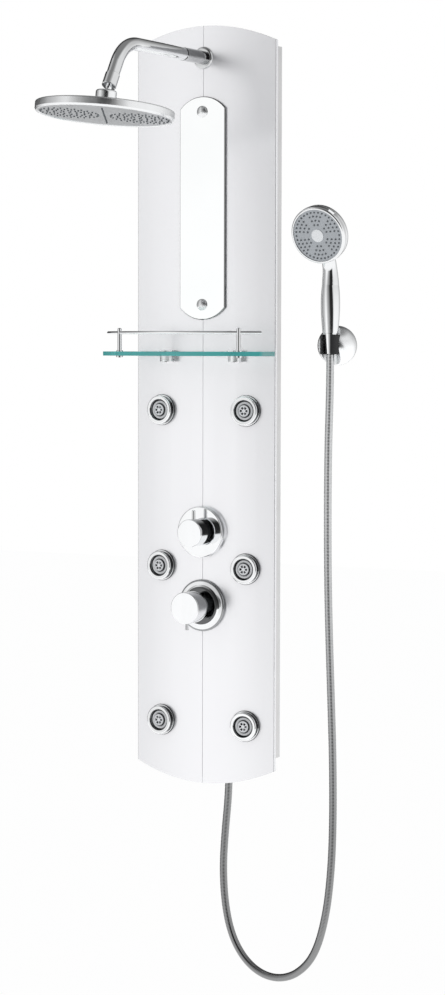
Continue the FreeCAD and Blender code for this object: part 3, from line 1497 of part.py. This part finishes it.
# ---- all the pieces --------------------------------------------------------------------------
def main():
    os.makedirs("parts", exist_ok=True)
    export("front_panel_left", front_panel_half(-1).cut(stud_holes()))
    export("front_panel_right", front_panel_half(1).cut(stud_holes()))
    export("seam_strip", seam_strip().cut(stud_holes()))
    export("back_frame", back_frame())
    export("wall_brackets", wall_brackets())

    export("arm_flange", arm_flange())
    export("arm_sleeve", arm_sleeve())
    export("shower_arm", shower_arm())
    export("arm_collar", arm_collar())
    export("swivel_ball", swivel_ball())
    export("swivel_seat_ring", swivel_seat_ring())
    export("swivel_nut", swivel_nut())
    export("head_shell", head_shell())
    export("head_nozzle_plate", head_nozzle_plate())
    export("head_nozzles", head_nozzles())

    export("mirror_glass", mirror_glass())
    export("mirror_caps", mirror_caps())
    export("glass_shelf", glass_shelf())
    export("shelf_clamps", shelf_clamps())
    export("gallery_rail", gallery_bar(GALLERY_RADIUS))
    export("rail_posts", rail_posts())
    export("post_nuts", post_nuts())
    export("grub_screws", grub_screws())

    export("diverter_flange", diverter_flange())
    export("diverter_knob", diverter_knob())
    export("diverter_pin", diverter_pin())
    export("diverter_valve", diverter_valve())
    export("mixer_flange", mixer_flange())
    export("mixer_knob", mixer_knob())
    export("mixer_pin", mixer_pin())
    export("mixer_valve", mixer_valve())
    export("supply_inlets", supply_inlets())
    export("riser_tube", riser_tube())
    export("jet_manifold", jet_manifold())
    export("hose_outlet", hose_outlet())

    places = jet_places()
    export("jet_bezels", group([jet_bezel(place) for _, place in places]))
    export("jet_lock_nuts", group([jet_lock_nut(place) for _, place in places]))
    for name, place in places:
        export("jet_ring_" + name, jet_ring(place))
        export("jet_ball_" + name, jet_ball(place))

    export("handset_shell", handset_shell())
    export("handset_selector_ring", handset_selector_ring())
    export("handset_face", handset_face())
    export("handset_nozzles", handset_nozzles())
    export("handset_cap", handset_cap())
    export("holder_base", holder_base())
    export("holder_ball", holder_ball())
    export("holder_clip", holder_clip())
    export("shower_hose", shower_hose())
    export("hose_nut", hose_nut())
    export("cone_nut", cone_nut())


main()
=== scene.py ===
import json
import math

import bmesh
import bpy
from mathutils import Matrix, Vector


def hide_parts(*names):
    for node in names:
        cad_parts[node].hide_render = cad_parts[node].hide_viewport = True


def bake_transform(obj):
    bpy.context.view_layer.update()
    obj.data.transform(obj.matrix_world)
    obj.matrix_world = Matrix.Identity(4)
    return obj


# Looks of the shower panel column.  Metres; X along the wall, Y into the wall, Z up.

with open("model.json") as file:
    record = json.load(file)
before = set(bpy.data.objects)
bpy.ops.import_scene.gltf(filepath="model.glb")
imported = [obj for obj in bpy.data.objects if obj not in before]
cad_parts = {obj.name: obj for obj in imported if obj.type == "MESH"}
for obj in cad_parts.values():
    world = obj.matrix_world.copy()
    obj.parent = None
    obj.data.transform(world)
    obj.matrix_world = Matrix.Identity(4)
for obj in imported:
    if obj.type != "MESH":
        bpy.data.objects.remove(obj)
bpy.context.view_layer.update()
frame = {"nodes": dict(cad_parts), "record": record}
NODES = frame["nodes"]

# ---- places that the model's own source also states ------------------------------------------
DIVERTER_Z = -0.238
MIXER_Z = -0.380
BOW_RADIUS = 1.1602      # of the panel's front, seen from above
JET_X = 0.0925
JET_Y = -0.05831
JET_TOP_Z = -0.005
JET_PITCH = 0.3015
HOSE_DIAMETER = 0.0145
HOSE_START = Vector((0.048, -0.042, -0.693))
HOSE_END = Vector((0.2715, -0.060, 0.104))
HOSE_BENDS = (
    (0.0480, -0.738), (0.0390, -0.825), (0.0350, -0.893), (0.0400, -0.964), (0.0550, -1.021),
    (0.0830, -1.062), (0.1210, -1.0865), (0.1640, -1.091), (0.2065, -1.0745), (0.2445, -1.033),
    (0.2680, -0.957), (0.2790, -0.865), (0.2820, -0.770), (0.2810, -0.660), (0.2765, -0.540),
    (0.2715, -0.415), (0.2685, -0.305), (0.2675, -0.190), (0.2680, -0.070), (0.2715, 0.040),
)

# ---- body jets: where painted shade darkens them, and their dark ball line --------------------
JET_MOUTH = 0.0208             # inside this radius
JET_EDGE = 0.0290              # outside this one
JET_RIM = (0.0268, 0.0285)     # between these radii
JET_RIM_RISE = (0.0055, 0.0112)      # and these distances before the panel
JET_WAIST = (0.0036, 0.0062)   # between these distances before the panel
JET_HOLES = (0.0035, 0.0078)   # radii of the ring of spray holes
JET_HOLE_LIMIT = -0.35         # a hole covers the part of its sixth where the cosine is above this
JET_BALL_LINE = (0.0110, 0.0130)     # radii of the line where the ball leaves its ring

# ---- the hose's wound strip ------------------------------------------------------------------
HOSE_STEP = 0.0009             # from one ring of the mesh to the next
HOSE_SIDES = 24
GROOVE_DEPTH = 0.0004
GROOVE_STEPS = 3               # every third ring is a groove

# ---- room ------------------------------------------------------------------------------------
FLOOR_Z = -1.17
FLOOR_REACH = 9.0
LAMP_PLACE = Vector((-0.9, -3.4, 1.6))
LAMP_TARGET = Vector((0.0, 0.0, -0.1))
LAMP_SIZE = 2.6
LAMP_POWER = 16
WHITE = (1.0, 1.0, 1.0)
SKY_COLOUR = (0.73, 0.74, 0.76)
# Dark and light round the horizon as chrome sees them: share of a full turn from -X through -Y
# (0.25, the front) and +X (0.5) to +Y (0.75, the wall side).
BANDS = (
    (0.00, 0.30), (0.06, 0.50), (0.11, 0.66), (0.145, 1.00), (0.18, 1.02), (0.20, 0.80),
    (0.22, 0.55), (0.275, 0.30), (0.305, 0.08), (0.325, 0.02), (0.40, 0.02), (0.43, 0.85),
    (0.46, 1.00), (0.60, 1.00), (0.70, 0.75), (0.77, 0.40), (0.84, 0.08), (0.95, 0.06),
)
BAND_LEAN = 0.09               # the bands lean this far, in shares of a turn, over the height
HEIGHT_SPAN = 0.35             # between minus and plus this height the bands get darker
HEIGHT_SHADES = (1.28, 0.83)   # from this factor below to this one above
ABOVE_EDGE = (0.70, 0.88)      # between these heights the bands pass into the grey ceiling
BELOW_EDGE = (-0.255, -0.195)  # and between these into the pale ground

# ---- camera ----------------------------------------------------------------------------------
CAMERA_PLACE = (2.39237, -4.25268, 0.11354)
CAMERA_TURN = 29.272           # degrees about the upright
CAMERA_RISE = 86.610           # degrees up from straight down
CAMERA_ROLL = 0.121            # degrees about the line of sight
CAMERA_LENS = 91.086


# ---- node helpers ----------------------------------------------------------------------------
class Tree:
    """Short way to build one node tree."""

    def __init__(self, tree):
        self.tree = tree
        tree.nodes.clear()

    def add(self, kind, **settings):
        node = self.tree.nodes.new(kind)
        for key, value in settings.items():
            setattr(node, key, value)
        return node

    def link(self, source, target):
        self.tree.links.new(source, target)

    def ramp(self, factor, stops, blend="LINEAR"):
        """Colours at their places along a factor from 0 to 1."""
        node = self.add("ShaderNodeValToRGB")
        node.color_ramp.interpolation = blend
        elements = node.color_ramp.elements
        while len(elements) < len(stops):
            elements.new(0.5)
        for element, (position, colour) in zip(elements, stops):
            element.position = position
            element.color = (*colour, 1)
        self.link(factor, node.inputs["Fac"])
        return node.outputs["Color"]

    def span(self, factor, low, high, to_low, to_high):
        """Carries low to high over to another pair of values and holds it there."""
        node = self.add("ShaderNodeMapRange")
        node.inputs["From Min"].default_value = low
        node.inputs["From Max"].default_value = high
        node.inputs["To Min"].default_value = to_low
        node.inputs["To Max"].default_value = to_high
        self.link(factor, node.inputs["Value"])
        return node.outputs["Result"]

    def math(self, operation, *values):
        """One sum on sockets or plain numbers."""
        node = self.add("ShaderNodeMath", operation=operation)
        for socket, value in zip(node.inputs, values):
            if isinstance(value, (int, float)):
                socket.default_value = value
            else:
                self.link(value, socket)
        return node.outputs[0]

    def coordinates(self, kind="Object"):
        """X, Y and Z of the place, of the normal or, in the world, of the direction."""
        split = self.add("ShaderNodeSeparateXYZ")
        self.link(self.add("ShaderNodeTexCoord").outputs[kind], split.inputs["Vector"])
        return split.outputs["X"], split.outputs["Y"], split.outputs["Z"]

    def mix(self, factor, first, second):
        """A colour between two, each a socket or plain red, green and blue."""
        node = self.add("ShaderNodeMix", data_type="RGBA")
        self.link(factor, node.inputs["Factor"])
        for name, value in (("A", first), ("B", second)):
            if isinstance(value, tuple):
                node.inputs[name].default_value = (*value, 1)
            else:
                self.link(value, node.inputs[name])
        return node.outputs["Result"]


class Shader(Tree):
    """A material round one principled shader."""

    def __init__(self, name):
        self.material = bpy.data.materials.new(name)
        self.material.use_nodes = True
        super().__init__(self.material.node_tree)
        self.output = self.add("ShaderNodeOutputMaterial")
        self.bsdf = self.add("ShaderNodeBsdfPrincipled")
        self.link(self.bsdf.outputs["BSDF"], self.output.inputs["Surface"])

    def set(self, **values):
        for key, value in values.items():
            self.bsdf.inputs[key.replace("_", " ")].default_value = value

    def place(self, scale):
        """Object coordinates, scaled."""
        source = self.add("ShaderNodeTexCoord").outputs["Object"]
        mapping = self.add("ShaderNodeMapping")
        mapping.inputs["Scale"].default_value = scale
        self.link(source, mapping.inputs["Vector"])
        return mapping.outputs["Vector"]

    def noise(self, scale, detail=3.0, stretch=(1, 1, 1), roughness=0.5):
        """Soft noise fixed to the object; a small stretch draws it out along that axis."""
        node = self.add("ShaderNodeTexNoise")
        node.inputs["Scale"].default_value = scale
        node.inputs["Detail"].default_value = detail
        node.inputs["Roughness"].default_value = roughness
        self.link(self.place(stretch), node.inputs["Vector"])
        return node.outputs["Fac"]

    def colour(self, source):
        self.link(source, self.bsdf.inputs["Base Color"])

    def roughness(self, factor, low, high):
        """Roughness that drifts from low to high with the factor."""
        self.link(self.span(factor, 0.3, 0.7, low, high), self.bsdf.inputs["Roughness"])

    def out_from(self, axis_x, axis_z):
        """Distance from an axis that runs along Y."""
        x, _, z = self.coordinates()
        across = self.math("POWER", self.math("SUBTRACT", x, axis_x), 2.0)
        rise = self.math("POWER", self.math("SUBTRACT", z, axis_z), 2.0)
        return self.math("SQRT", self.math("ADD", across, rise))

    def blend_to(self, mask, colour):
        """Puts another base colour where the mask is 1."""
        self.colour(self.mix(mask, self.bsdf.inputs["Base Color"].links[0].from_socket, colour))

    def bump(self, height, strength, distance):
        node = self.add("ShaderNodeBump")
        node.inputs["Strength"].default_value = strength
        node.inputs["Distance"].default_value = distance
        self.link(height, node.inputs["Height"])
        self.link(node.outputs["Normal"], self.bsdf.inputs["Normal"])


def grey(value, tint=0.0):
    """A grey that leans to blue by tint."""
    return value * (1 - tint), value, value * (1 + tint)


def dress_chrome(shader, base, rough):
    """Polished chrome with faint wipe marks."""
    shader.set(Metallic=1.0)
    marks = shader.noise(38.0, 4.0, (1, 1, 0.35))
    dull, bright = grey(base - 0.03, 0.01), grey(base + 0.02, 0.01)
    shader.colour(shader.ramp(marks, ((0.2, dull), (0.8, bright))))
    shader.roughness(marks, rough * 0.7, rough * 1.5)
    shader.bump(shader.noise(9.0, 2.0), 0.012, 0.002)


def chrome(name, base=0.86, rough=0.045):
    """A shader of polished chrome, or of satin chrome with a higher roughness."""
    shader = Shader(name)
    dress_chrome(shader, base, rough)
    return shader


def knob_material(name, axis_z, floor_y, radius, value):
    """Chrome knob whose hollow and neck, behind floor_y and inside radius, get a flat painted
    shade.
    """
    shader = chrome(name)
    inner = shader.math("LESS_THAN", shader.out_from(0.0, axis_z), radius)
    behind = shader.math("GREATER_THAN", shader.coordinates()[1], floor_y)
    # Painted shade: the hollow and the neck get a flat grey instead of chrome.
    painted_hollow_shade = shader.math("MULTIPLY", inner, behind)
    shader.blend_to(painted_hollow_shade, grey(value, 0.03))
    shader.link(shader.math("SUBTRACT", 1.0, painted_hollow_shade), shader.bsdf.inputs["Metallic"])
    return shader.material


def rosette_material(name, axis_z, channel_radius, edge_radius):
    """Chrome rosette with painted dark reflection in the channel round the knob and on its steep
    edge.
    """
    shader = chrome(name)
    out = shader.out_from(0.0, axis_z)
    channel = shader.math("LESS_THAN", out, channel_radius)
    edge = shader.math("GREATER_THAN", out, edge_radius)
    # Painted dark reflection: a dark ring round the knob and a darker steep edge.
    shader.blend_to(channel, grey(0.13, 0.02))
    shader.blend_to(edge, grey(0.34, 0.02))
    return shader.material


class JetShader(Shader):
    """A material that knows how far each place is from the axis of its body jet.

    forward is the distance before the panel, rise and across are up and to the side of the
    axis, and out is the radius. Left and right jets and all rows fall on one another.
    """

    def __init__(self, name):
        super().__init__(name)
        x, y, z = self.coordinates()
        aside = self.math("ABSOLUTE", x)
        lean = JET_X / BOW_RADIUS
        along = self.math("SUBTRACT", self.math("MULTIPLY", aside, lean), y)
        self.forward = self.math("SUBTRACT", along, JET_X * lean - JET_Y)
        self.rise = self.math("PINGPONG", self.math("SUBTRACT", z, JET_TOP_Z), JET_PITCH / 2)
        back = self.math("MULTIPLY", self.math("SUBTRACT", y, JET_Y), lean)
        self.across = self.math("SUBTRACT", self.math("ADD", aside, back), JET_X)
        squares = [self.math("POWER", way, 2.0) for way in (self.rise, self.across)]
        self.out = self.math("SQRT", self.math("ADD", *squares))

    def between(self, value, low, high):
        """1 where the value lies between the two limits."""
        return self.math("MULTIPLY", self.math("GREATER_THAN", value, low),
                         self.math("LESS_THAN", value, high))


def jet_bezel_material():
    """Chrome bezel with painted shade on its steep rims, in its waist and in its mouth."""
    shader = JetShader("jet_chrome")
    dress_chrome(shader, 0.86, 0.045)
    rim = shader.math("MULTIPLY", shader.between(shader.out, *JET_RIM),
                      shader.between(shader.forward, *JET_RIM_RISE))
    waist = shader.between(shader.forward, *JET_WAIST)
    mouth = shader.math("LESS_THAN", shader.out, JET_MOUTH)
    edge = shader.math("GREATER_THAN", shader.out, JET_EDGE)
    outside = shader.math("MAXIMUM", rim, waist)
    dark = shader.math("MAXIMUM", outside, shader.math("MAXIMUM", mouth, edge))
    # Painted shade: steep rims, waist, mouth and outer edge get a dark colour.
    shader.blend_to(dark, grey(0.11, 0.04))
    return shader.material


def jet_ball_material():
    """Pale moulding with painted shade for its spray holes, which are only dark spots, and a dark
    line where the ball leaves its ring.
    """
    shader = JetShader("jet_insert")
    dress_plastic(shader, (0.86, 0.87, 0.88), 0.22, 0.4)
    around = shader.math("ARCTAN2", shader.rise, shader.across)
    sixfold = shader.math("COSINE", shader.math("MULTIPLY", around, 6.0))
    spoke = shader.math("GREATER_THAN", sixfold, JET_HOLE_LIMIT)
    hole = shader.math("MULTIPLY", spoke, shader.between(shader.out, *JET_HOLES))
    line = shader.between(shader.out, *JET_BALL_LINE)
    # Painted shade: the spray holes are dark spots on the surface; the ring line is a dark joint.
    shader.blend_to(shader.math("MAXIMUM", hole, line), (0.022, 0.022, 0.025))
    return shader.material


def chromed_plastic_material():
    """Plated moulding, a little softer than turned chrome."""
    shader = Shader("chromed_plastic")
    shader.set(Metallic=1.0)
    cloud = shader.noise(24.0, 3.0)
    shader.colour(shader.ramp(cloud, ((0.25, grey(0.80, 0.01)), (0.75, grey(0.85, 0.01)))))
    shader.roughness(cloud, 0.05, 0.10)
    shader.bump(shader.noise(60.0, 2.0), 0.02, 0.001)
    return shader.material


def satin_panel_material():
    """Satin anodised sheet with fine, hardly visible upright brushing."""
    shader = Shader("satin_panel")
    shader.set(Metallic=0.70)
    brush = shader.noise(2400.0, 3.0, (1, 1, 0.006), 0.6)
    cloud = shader.noise(3.0, 2.0)
    both = shader.math("MULTIPLY_ADD", cloud, 0.35, shader.span(brush, 0.0, 1.0, 0.0, 0.65))
    shader.colour(shader.ramp(both, (
        (0.25, (0.961, 0.959, 0.976)),
        (0.75, (0.963, 0.961, 0.978)),
    )))
    shader.roughness(brush, 0.266, 0.270)
    return shader.material


def sheet_metal_material(name, value, rough):
    """Mill-finish sheet with rolling lines and a few rubbed spots."""
    shader = Shader(name)
    shader.set(Metallic=0.9)
    roll = shader.noise(900.0, 3.0, (1, 1, 0.02))
    spots = shader.noise(14.0, 5.0)
    both = shader.math("ADD", shader.span(roll, 0.2, 0.8, 0.0, 0.5),
                       shader.span(spots, 0.3, 0.7, 0.0, 0.5))
    shader.colour(shader.ramp(both, ((0.2, grey(value * 0.88)), (0.8, grey(value)))))
    shader.roughness(both, rough, rough + 0.12)
    shader.bump(roll, 0.08, 0.0002)
    return shader.material


def dress_plastic(shader, colour, rough, coat=0.0):
    """Moulded plastic with fine grain and faint colour drift."""
    shader.set(Coat_Weight=coat, Specular_IOR_Level=0.5)
    drift = shader.noise(30.0, 3.0)
    low = tuple(c * 0.94 for c in colour)
    shader.colour(shader.ramp(drift, ((0.3, low), (0.7, colour))))
    shader.roughness(drift, rough, rough + 0.08)
    shader.bump(shader.noise(700.0, 2.0), 0.06, 0.0002)


def plastic(name, colour, rough, coat=0.0):
    """A shader of moulded plastic."""
    shader = Shader(name)
    dress_plastic(shader, colour, rough, coat)
    return shader


def rubber_material():
    """Dark soft rubber of the nozzles."""
    shader = Shader("nozzle_rubber")
    drift = shader.noise(200.0, 3.0)
    shader.colour(shader.ramp(drift, ((0.3, (0.10, 0.11, 0.12)), (0.7, (0.17, 0.18, 0.19)))))
    shader.roughness(drift, 0.5, 0.65)
    shader.bump(shader.noise(2500.0, 2.0), 0.1, 0.0001)
    return shader.material


def plate_material(name, value, rough, tint=0.02):
    """Dulled silver plate round the nozzles."""
    shader = Shader(name)
    shader.set(Metallic=0.5)
    cloud = shader.noise(45.0, 3.0)
    dull, bright = grey(value - 0.03, tint), grey(value + 0.02, tint)
    shader.colour(shader.ramp(cloud, ((0.25, dull), (0.75, bright))))
    shader.roughness(cloud, rough, rough + 0.1)
    shader.bump(shader.noise(1400.0, 2.0), 0.04, 0.0002)
    return shader.material


def mirror_material():
    """Silvered glass with a faint haze; its edge, which doesn't face forward, is grey."""
    shader = Shader("mirror")
    shader.set(Metallic=1.0)
    haze = shader.noise(6.0, 3.0)
    shader.colour(shader.ramp(haze, ((0.3, (0.93, 0.945, 0.945)), (0.7, (0.96, 0.97, 0.97)))))
    shader.roughness(haze, 0.01, 0.03)
    front = shader.math("ABSOLUTE", shader.coordinates("Normal")[1])
    shader.blend_to(shader.math("LESS_THAN", front, 0.95), grey(0.30))
    return shader.material


def glass_material():
    """Clear, faintly green shelf glass whose edge is a strong sea green."""
    shader = Shader("shelf_glass")
    shader.set(Transmission_Weight=1.0, IOR=1.5)
    drift = shader.noise(5.0, 2.0)
    shader.colour(shader.ramp(drift, ((0.3, (0.86, 0.955, 0.945)), (0.7, (0.90, 0.975, 0.965)))))
    shader.roughness(drift, 0.0, 0.02)
    level = shader.math("ABSOLUTE", shader.coordinates("Normal")[2])
    edge = shader.math("LESS_THAN", level, 0.5)
    shader.blend_to(edge, (0.11, 0.52, 0.50))
    shader.link(shader.span(edge, 0.0, 1.0, 1.0, 0.35), shader.bsdf.inputs["Transmission Weight"])
    return shader.material


def brass_material():
    """Cast brass of the valve bodies."""
    shader = Shader("brass_valve")
    shader.set(Metallic=1.0)
    cast = shader.noise(120.0, 5.0)
    shader.colour(shader.ramp(cast, ((0.3, (0.42, 0.29, 0.12)), (0.7, (0.62, 0.46, 0.20)))))
    shader.roughness(cast, 0.3, 0.5)
    shader.bump(cast, 0.25, 0.0006)
    return shader.material


def hose_material():
    """Chromed strip metal of the hose, with painted dark reflection that darkens it where it hangs
    low, as in the photograph.
    """
    shader = Shader("metal_hose")
    shader.set(Metallic=1.0)
    wear = shader.noise(300.0, 3.0)
    shader.colour(shader.ramp(wear, ((0.25, grey(0.50, 0.01)), (0.75, grey(0.66, 0.01)))))
    # Painted dark reflection: the hose is darker towards its low end.
    low = shader.span(shader.coordinates()[2], -0.80, -0.20, 0.85, 0.0)
    shader.blend_to(low, grey(0.22, 0.01))
    shader.roughness(wear, 0.05, 0.09)
    return shader.material


MATERIALS = {
    "satin_panel": satin_panel_material(),
    "dark_strip": plastic("dark_strip", (0.92, 0.92, 0.94), 0.5).material,   # pale, in a dark gap
    "frame_steel": sheet_metal_material("frame_sheet", 0.78, 0.35),
    "bracket_steel": sheet_metal_material("bracket_sheet", 0.60, 0.40),
    "chrome_trim": chrome("chrome").material,
    "chrome_tube": chrome("tube_chrome", 0.84, 0.05).material,
    "chromed_plastic": chromed_plastic_material(),
    "nozzle_plate": plate_material("nozzle_plate", 0.48, 0.30),
    "handset_plate": plate_material("handset_plate", 0.44, 0.32, 0.05),
    "nozzle_rubber": rubber_material(),
    "seat_plastic": plastic("seat_plastic", (0.66, 0.68, 0.70), 0.42).material,
    "jet_insert": jet_ball_material(),
    "mirror": mirror_material(),
    "shelf_glass": glass_material(),
    "screw_steel": sheet_metal_material("screw_steel", 0.30, 0.35),
    "brass_valve": brass_material(),
    "water_tube": plastic("water_tube", (0.80, 0.81, 0.80), 0.35).material,
    "metal_hose": hose_material(),
}
# Nodes that look different from the rest of their slot.
OWN_MATERIALS = {
    "diverter_knob": knob_material("diverter_chrome", DIVERTER_Z, floor_y=-0.0931,
                                   radius=0.0235, value=0.03),
    "mixer_knob": knob_material("mixer_chrome", MIXER_Z, floor_y=-0.1104,
                                radius=0.0275, value=0.24),
    "mixer_flange": rosette_material("mixer_rosette", MIXER_Z, channel_radius=0.0365,
                                     edge_radius=0.0462),
    "arm_flange": chrome("flange_chrome", 0.62).material,
    "arm_sleeve": chrome("sleeve_chrome", 0.50, 0.07).material,
    # Painted shade and painted dark reflection: the holder clip is near-black instead of its own
    # light chrome.
    "holder_clip": plastic("clip_painted_dark", (0.010, 0.010, 0.011), 0.5).material,
    "holder_ball": chrome("satin_ball", 0.93, 0.24).material,
    "head_shell": chrome("satin_head", 0.88, 0.30).material,
    "swivel_nut": chrome("satin_nut", 0.92, 0.26).material,
    "mirror_caps": chrome("satin_caps", 0.84, 0.24).material,
    "shelf_clamps": chrome("satin_clamps", 0.93, 0.30).material,
    "handset_cap": plate_material("handset_cap", 0.80, 0.30),
    "jet_bezels": jet_bezel_material(),
}
JET_RING = plastic("jet_ring", (0.88, 0.885, 0.89), 0.25, 0.4).material


def dress_nodes():
    """Gives each carried-over node its own material, or else that of its slot."""
    for part in frame["record"]["subparts"]:
        node = NODES[part["node"]]
        material = OWN_MATERIALS.get(part["node"], MATERIALS[part["material_slot"]])
        if part["node"].startswith("jet_ring"):
            material = JET_RING
        if not node.material_slots:
            node.data.materials.append(material)
        for slot in node.material_slots:
            slot.material = material


# ---- view ------------------------------------------------------------------------------------
def turned(degrees, axis):
    """A turn about one axis."""
    return Matrix.Rotation(math.radians(degrees), 4, axis)


def make_camera():
    """The photograph's place, direction and lens."""
    data = bpy.data.cameras.new("view")
    data.sensor_fit = "AUTO"
    data.sensor_width = 36.0
    data.lens = CAMERA_LENS
    data.clip_end = 60.0
    camera = bpy.data.objects.new("view", data)
    camera.location = CAMERA_PLACE
    level = turned(CAMERA_TURN, "Z") @ turned(CAMERA_RISE, "X")
    camera.rotation_euler = (level @ turned(CAMERA_ROLL, "Z")).to_euler()
    bpy.context.scene.collection.objects.link(camera)
    bpy.context.scene.camera = camera


# ---- hose ------------------------------------------------------------------------------------
def hose_route():
    """The route's points, whose depth goes over evenly from the outlet to the hand shower."""
    points = [HOSE_START]
    for x, z in HOSE_BENDS:
        share = (x - HOSE_START.x) / (HOSE_END.x - HOSE_START.x)
        share = min(max(share, 0.0), 1.0)
        points.append(Vector((x, HOSE_START.y + share * (HOSE_END.y - HOSE_START.y), z)))
    points.append(HOSE_END)
    return points


def route_curve(points):
    """A spline of the third order with the points as its control points."""
    data = bpy.data.curves.new("hose_route", "CURVE")
    data.dimensions = "3D"
    data.resolution_u = 48
    spline = data.splines.new("NURBS")
    spline.points.add(len(points) - 1)
    for point, place in zip(spline.points, points):
        point.co = (*place, 1.0)
    spline.order_u = 3
    spline.use_endpoint_u = True
    return bpy.data.objects.new("hose_route", data)


def follow(points):
    """The points of the smooth route, read from its spline."""
    route = route_curve(points)
    bpy.context.scene.collection.objects.link(route)
    graph = bpy.context.evaluated_depsgraph_get()
    mesh = bpy.data.meshes.new_from_object(route.evaluated_get(graph))
    line = [vertex.co.copy() for vertex in mesh.vertices]
    bpy.data.meshes.remove(mesh)
    bpy.data.objects.remove(route)
    return line


def even(line, step):
    """Points every step along a line, with its length."""
    lengths = [0.0]
    for a, b in zip(line, line[1:]):
        lengths.append(lengths[-1] + (b - a).length)
    count = round(lengths[-1] / step)
    result = []
    index = 0
    for number in range(count + 1):
        want = lengths[-1] * number / count
        while index < len(line) - 2 and lengths[index + 1] < want:
            index += 1
        span = lengths[index + 1] - lengths[index]
        result.append(line[index].lerp(line[index + 1], (want - lengths[index]) / span))
    return result, lengths[-1]


def grooved_tube(line, radius, depth, sides, groove_steps):
    """A tube whose radius steps in and out along its length, like wound strip."""
    mesh = bmesh.new()
    tangent = (line[1] - line[0]).normalized()
    normal = tangent.orthogonal().normalized()
    rings = []
    for index, point in enumerate(line):
        ahead = line[min(index + 1, len(line) - 1)]
        behind = line[max(index - 1, 0)]
        tangent = (ahead - behind).normalized()
        normal = (normal - tangent * normal.dot(tangent)).normalized()
        side = tangent.cross(normal)
        size = radius if index % groove_steps else radius - depth
        ring = []
        for corner in range(sides):
            angle = 2 * math.pi * corner / sides
            outward = normal * math.cos(angle) + side * math.sin(angle)
            ring.append(mesh.verts.new(point + outward * size))
        rings.append(ring)
    for low, high in zip(rings, rings[1:]):
        for corner in range(sides):
            after = (corner + 1) % sides
            mesh.faces.new((low[corner], low[after], high[after], high[corner]))
    mesh.faces.new(list(reversed(rings[0])))
    mesh.faces.new(rings[-1])
    data = bpy.data.meshes.new("hose")
    mesh.to_mesh(data)
    mesh.free()
    for face in data.polygons:
        face.use_smooth = len(face.vertices) == 4
    return data


def make_hose():
    """The hose, blended between the panel and the hand shower that lifts it."""
    line, length = even(follow(hose_route()), HOSE_STEP)
    data = grooved_tube(line, HOSE_DIAMETER / 2, GROOVE_DEPTH, HOSE_SIDES, GROOVE_STEPS)
    hose = bpy.data.objects.new("metal_hose", data)
    bpy.context.scene.collection.objects.link(hose)
    data.materials.append(MATERIALS["metal_hose"])
    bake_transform(hose)
    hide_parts("shower_hose")


# ---- room ------------------------------------------------------------------------------------
def make_floor():
    """Pale floor that looks white to the camera, keeps shadows and isn't seen in chrome."""
    mesh = bpy.data.meshes.new("floor")
    reach = FLOOR_REACH
    corners = [(-reach, -reach), (reach, -reach), (reach, reach), (-reach, reach)]
    mesh.from_pydata([(x, y, FLOOR_Z) for x, y in corners], [], [(0, 1, 2, 3)])
    floor = bpy.data.objects.new("floor", mesh)
    bpy.context.scene.collection.objects.link(floor)
    shader = Shader("floor")
    shader.set(Roughness=0.9)
    shader.colour(shader.ramp(shader.noise(3.0), ((0.3, grey(0.86)), (0.7, grey(0.88)))))
    path = shader.add("ShaderNodeLightPath")
    glow = shader.add("ShaderNodeEmission")
    to_camera = shader.math("MULTIPLY", path.outputs["Is Camera Ray"], 0.97)
    seen = shader.add("ShaderNodeMixShader")
    shader.link(to_camera, seen.inputs["Fac"])
    shader.link(shader.bsdf.outputs["BSDF"], seen.inputs[1])
    shader.link(glow.outputs["Emission"], seen.inputs[2])
    mirrored = shader.add("ShaderNodeMixShader")
    shader.link(path.outputs["Is Glossy Ray"], mirrored.inputs["Fac"])
    shader.link(seen.outputs["Shader"], mirrored.inputs[1])
    shader.link(shader.add("ShaderNodeBsdfTransparent").outputs["BSDF"], mirrored.inputs[2])
    shader.link(mirrored.outputs["Shader"], shader.output.inputs["Surface"])
    mesh.materials.append(shader.material)


def make_world():
    """White to the camera; chrome sees upright bands, as in a studio with black cards."""
    world = bpy.data.worlds.new("studio")
    bpy.context.scene.world = world
    world.use_nodes = True
    sky = Tree(world.node_tree)
    output = sky.add("ShaderNodeOutputWorld")
    background = sky.add("ShaderNodeBackground")
    sky.link(background.outputs["Background"], output.inputs["Surface"])
    x, y, z = sky.coordinates("Generated")
    turn = sky.span(sky.math("ARCTAN2", y, x), -math.pi, math.pi, 0.0, 1.0)
    leaning = sky.math("ADD", turn, sky.math("MULTIPLY", z, BAND_LEAN))
    bands = sky.ramp(leaning, [(share, grey(value)) for share, value in BANDS], "EASE")
    above = sky.span(z, *ABOVE_EDGE, 0.0, 1.0)
    below = sky.span(z, *BELOW_EDGE, 1.0, 0.0)
    capped = sky.mix(below, sky.mix(above, bands, grey(0.28)), grey(0.88))
    height = sky.span(z, -HEIGHT_SPAN, HEIGHT_SPAN, *HEIGHT_SHADES)
    mirrored = sky.math("MULTIPLY", capped, height)
    path = sky.add("ShaderNodeLightPath")
    clear = sky.math("MAXIMUM", path.outputs["Is Camera Ray"],
                     path.outputs["Is Transmission Ray"])
    plain = sky.mix(path.outputs["Is Glossy Ray"], SKY_COLOUR, mirrored)
    sky.link(sky.mix(clear, plain, WHITE), background.inputs["Color"])


def make_lamp():
    """One wide lamp for soft shadows, which chrome and mirror don't show."""
    data = bpy.data.lights.new("key", "AREA")
    data.shape = "SQUARE"
    data.size = LAMP_SIZE
    data.energy = LAMP_POWER
    lamp = bpy.data.objects.new("key", data)
    lamp.location = LAMP_PLACE
    lamp.rotation_euler = (LAMP_TARGET - LAMP_PLACE).to_track_quat("-Z", "Y").to_euler()
    lamp.visible_glossy = False
    bpy.context.scene.collection.objects.link(lamp)


# ---- build -----------------------------------------------------------------------------------
make_camera()
make_hose()
dress_nodes()
make_floor()
make_world()
make_lamp()
bpy.context.scene.view_settings.view_transform = "Standard"
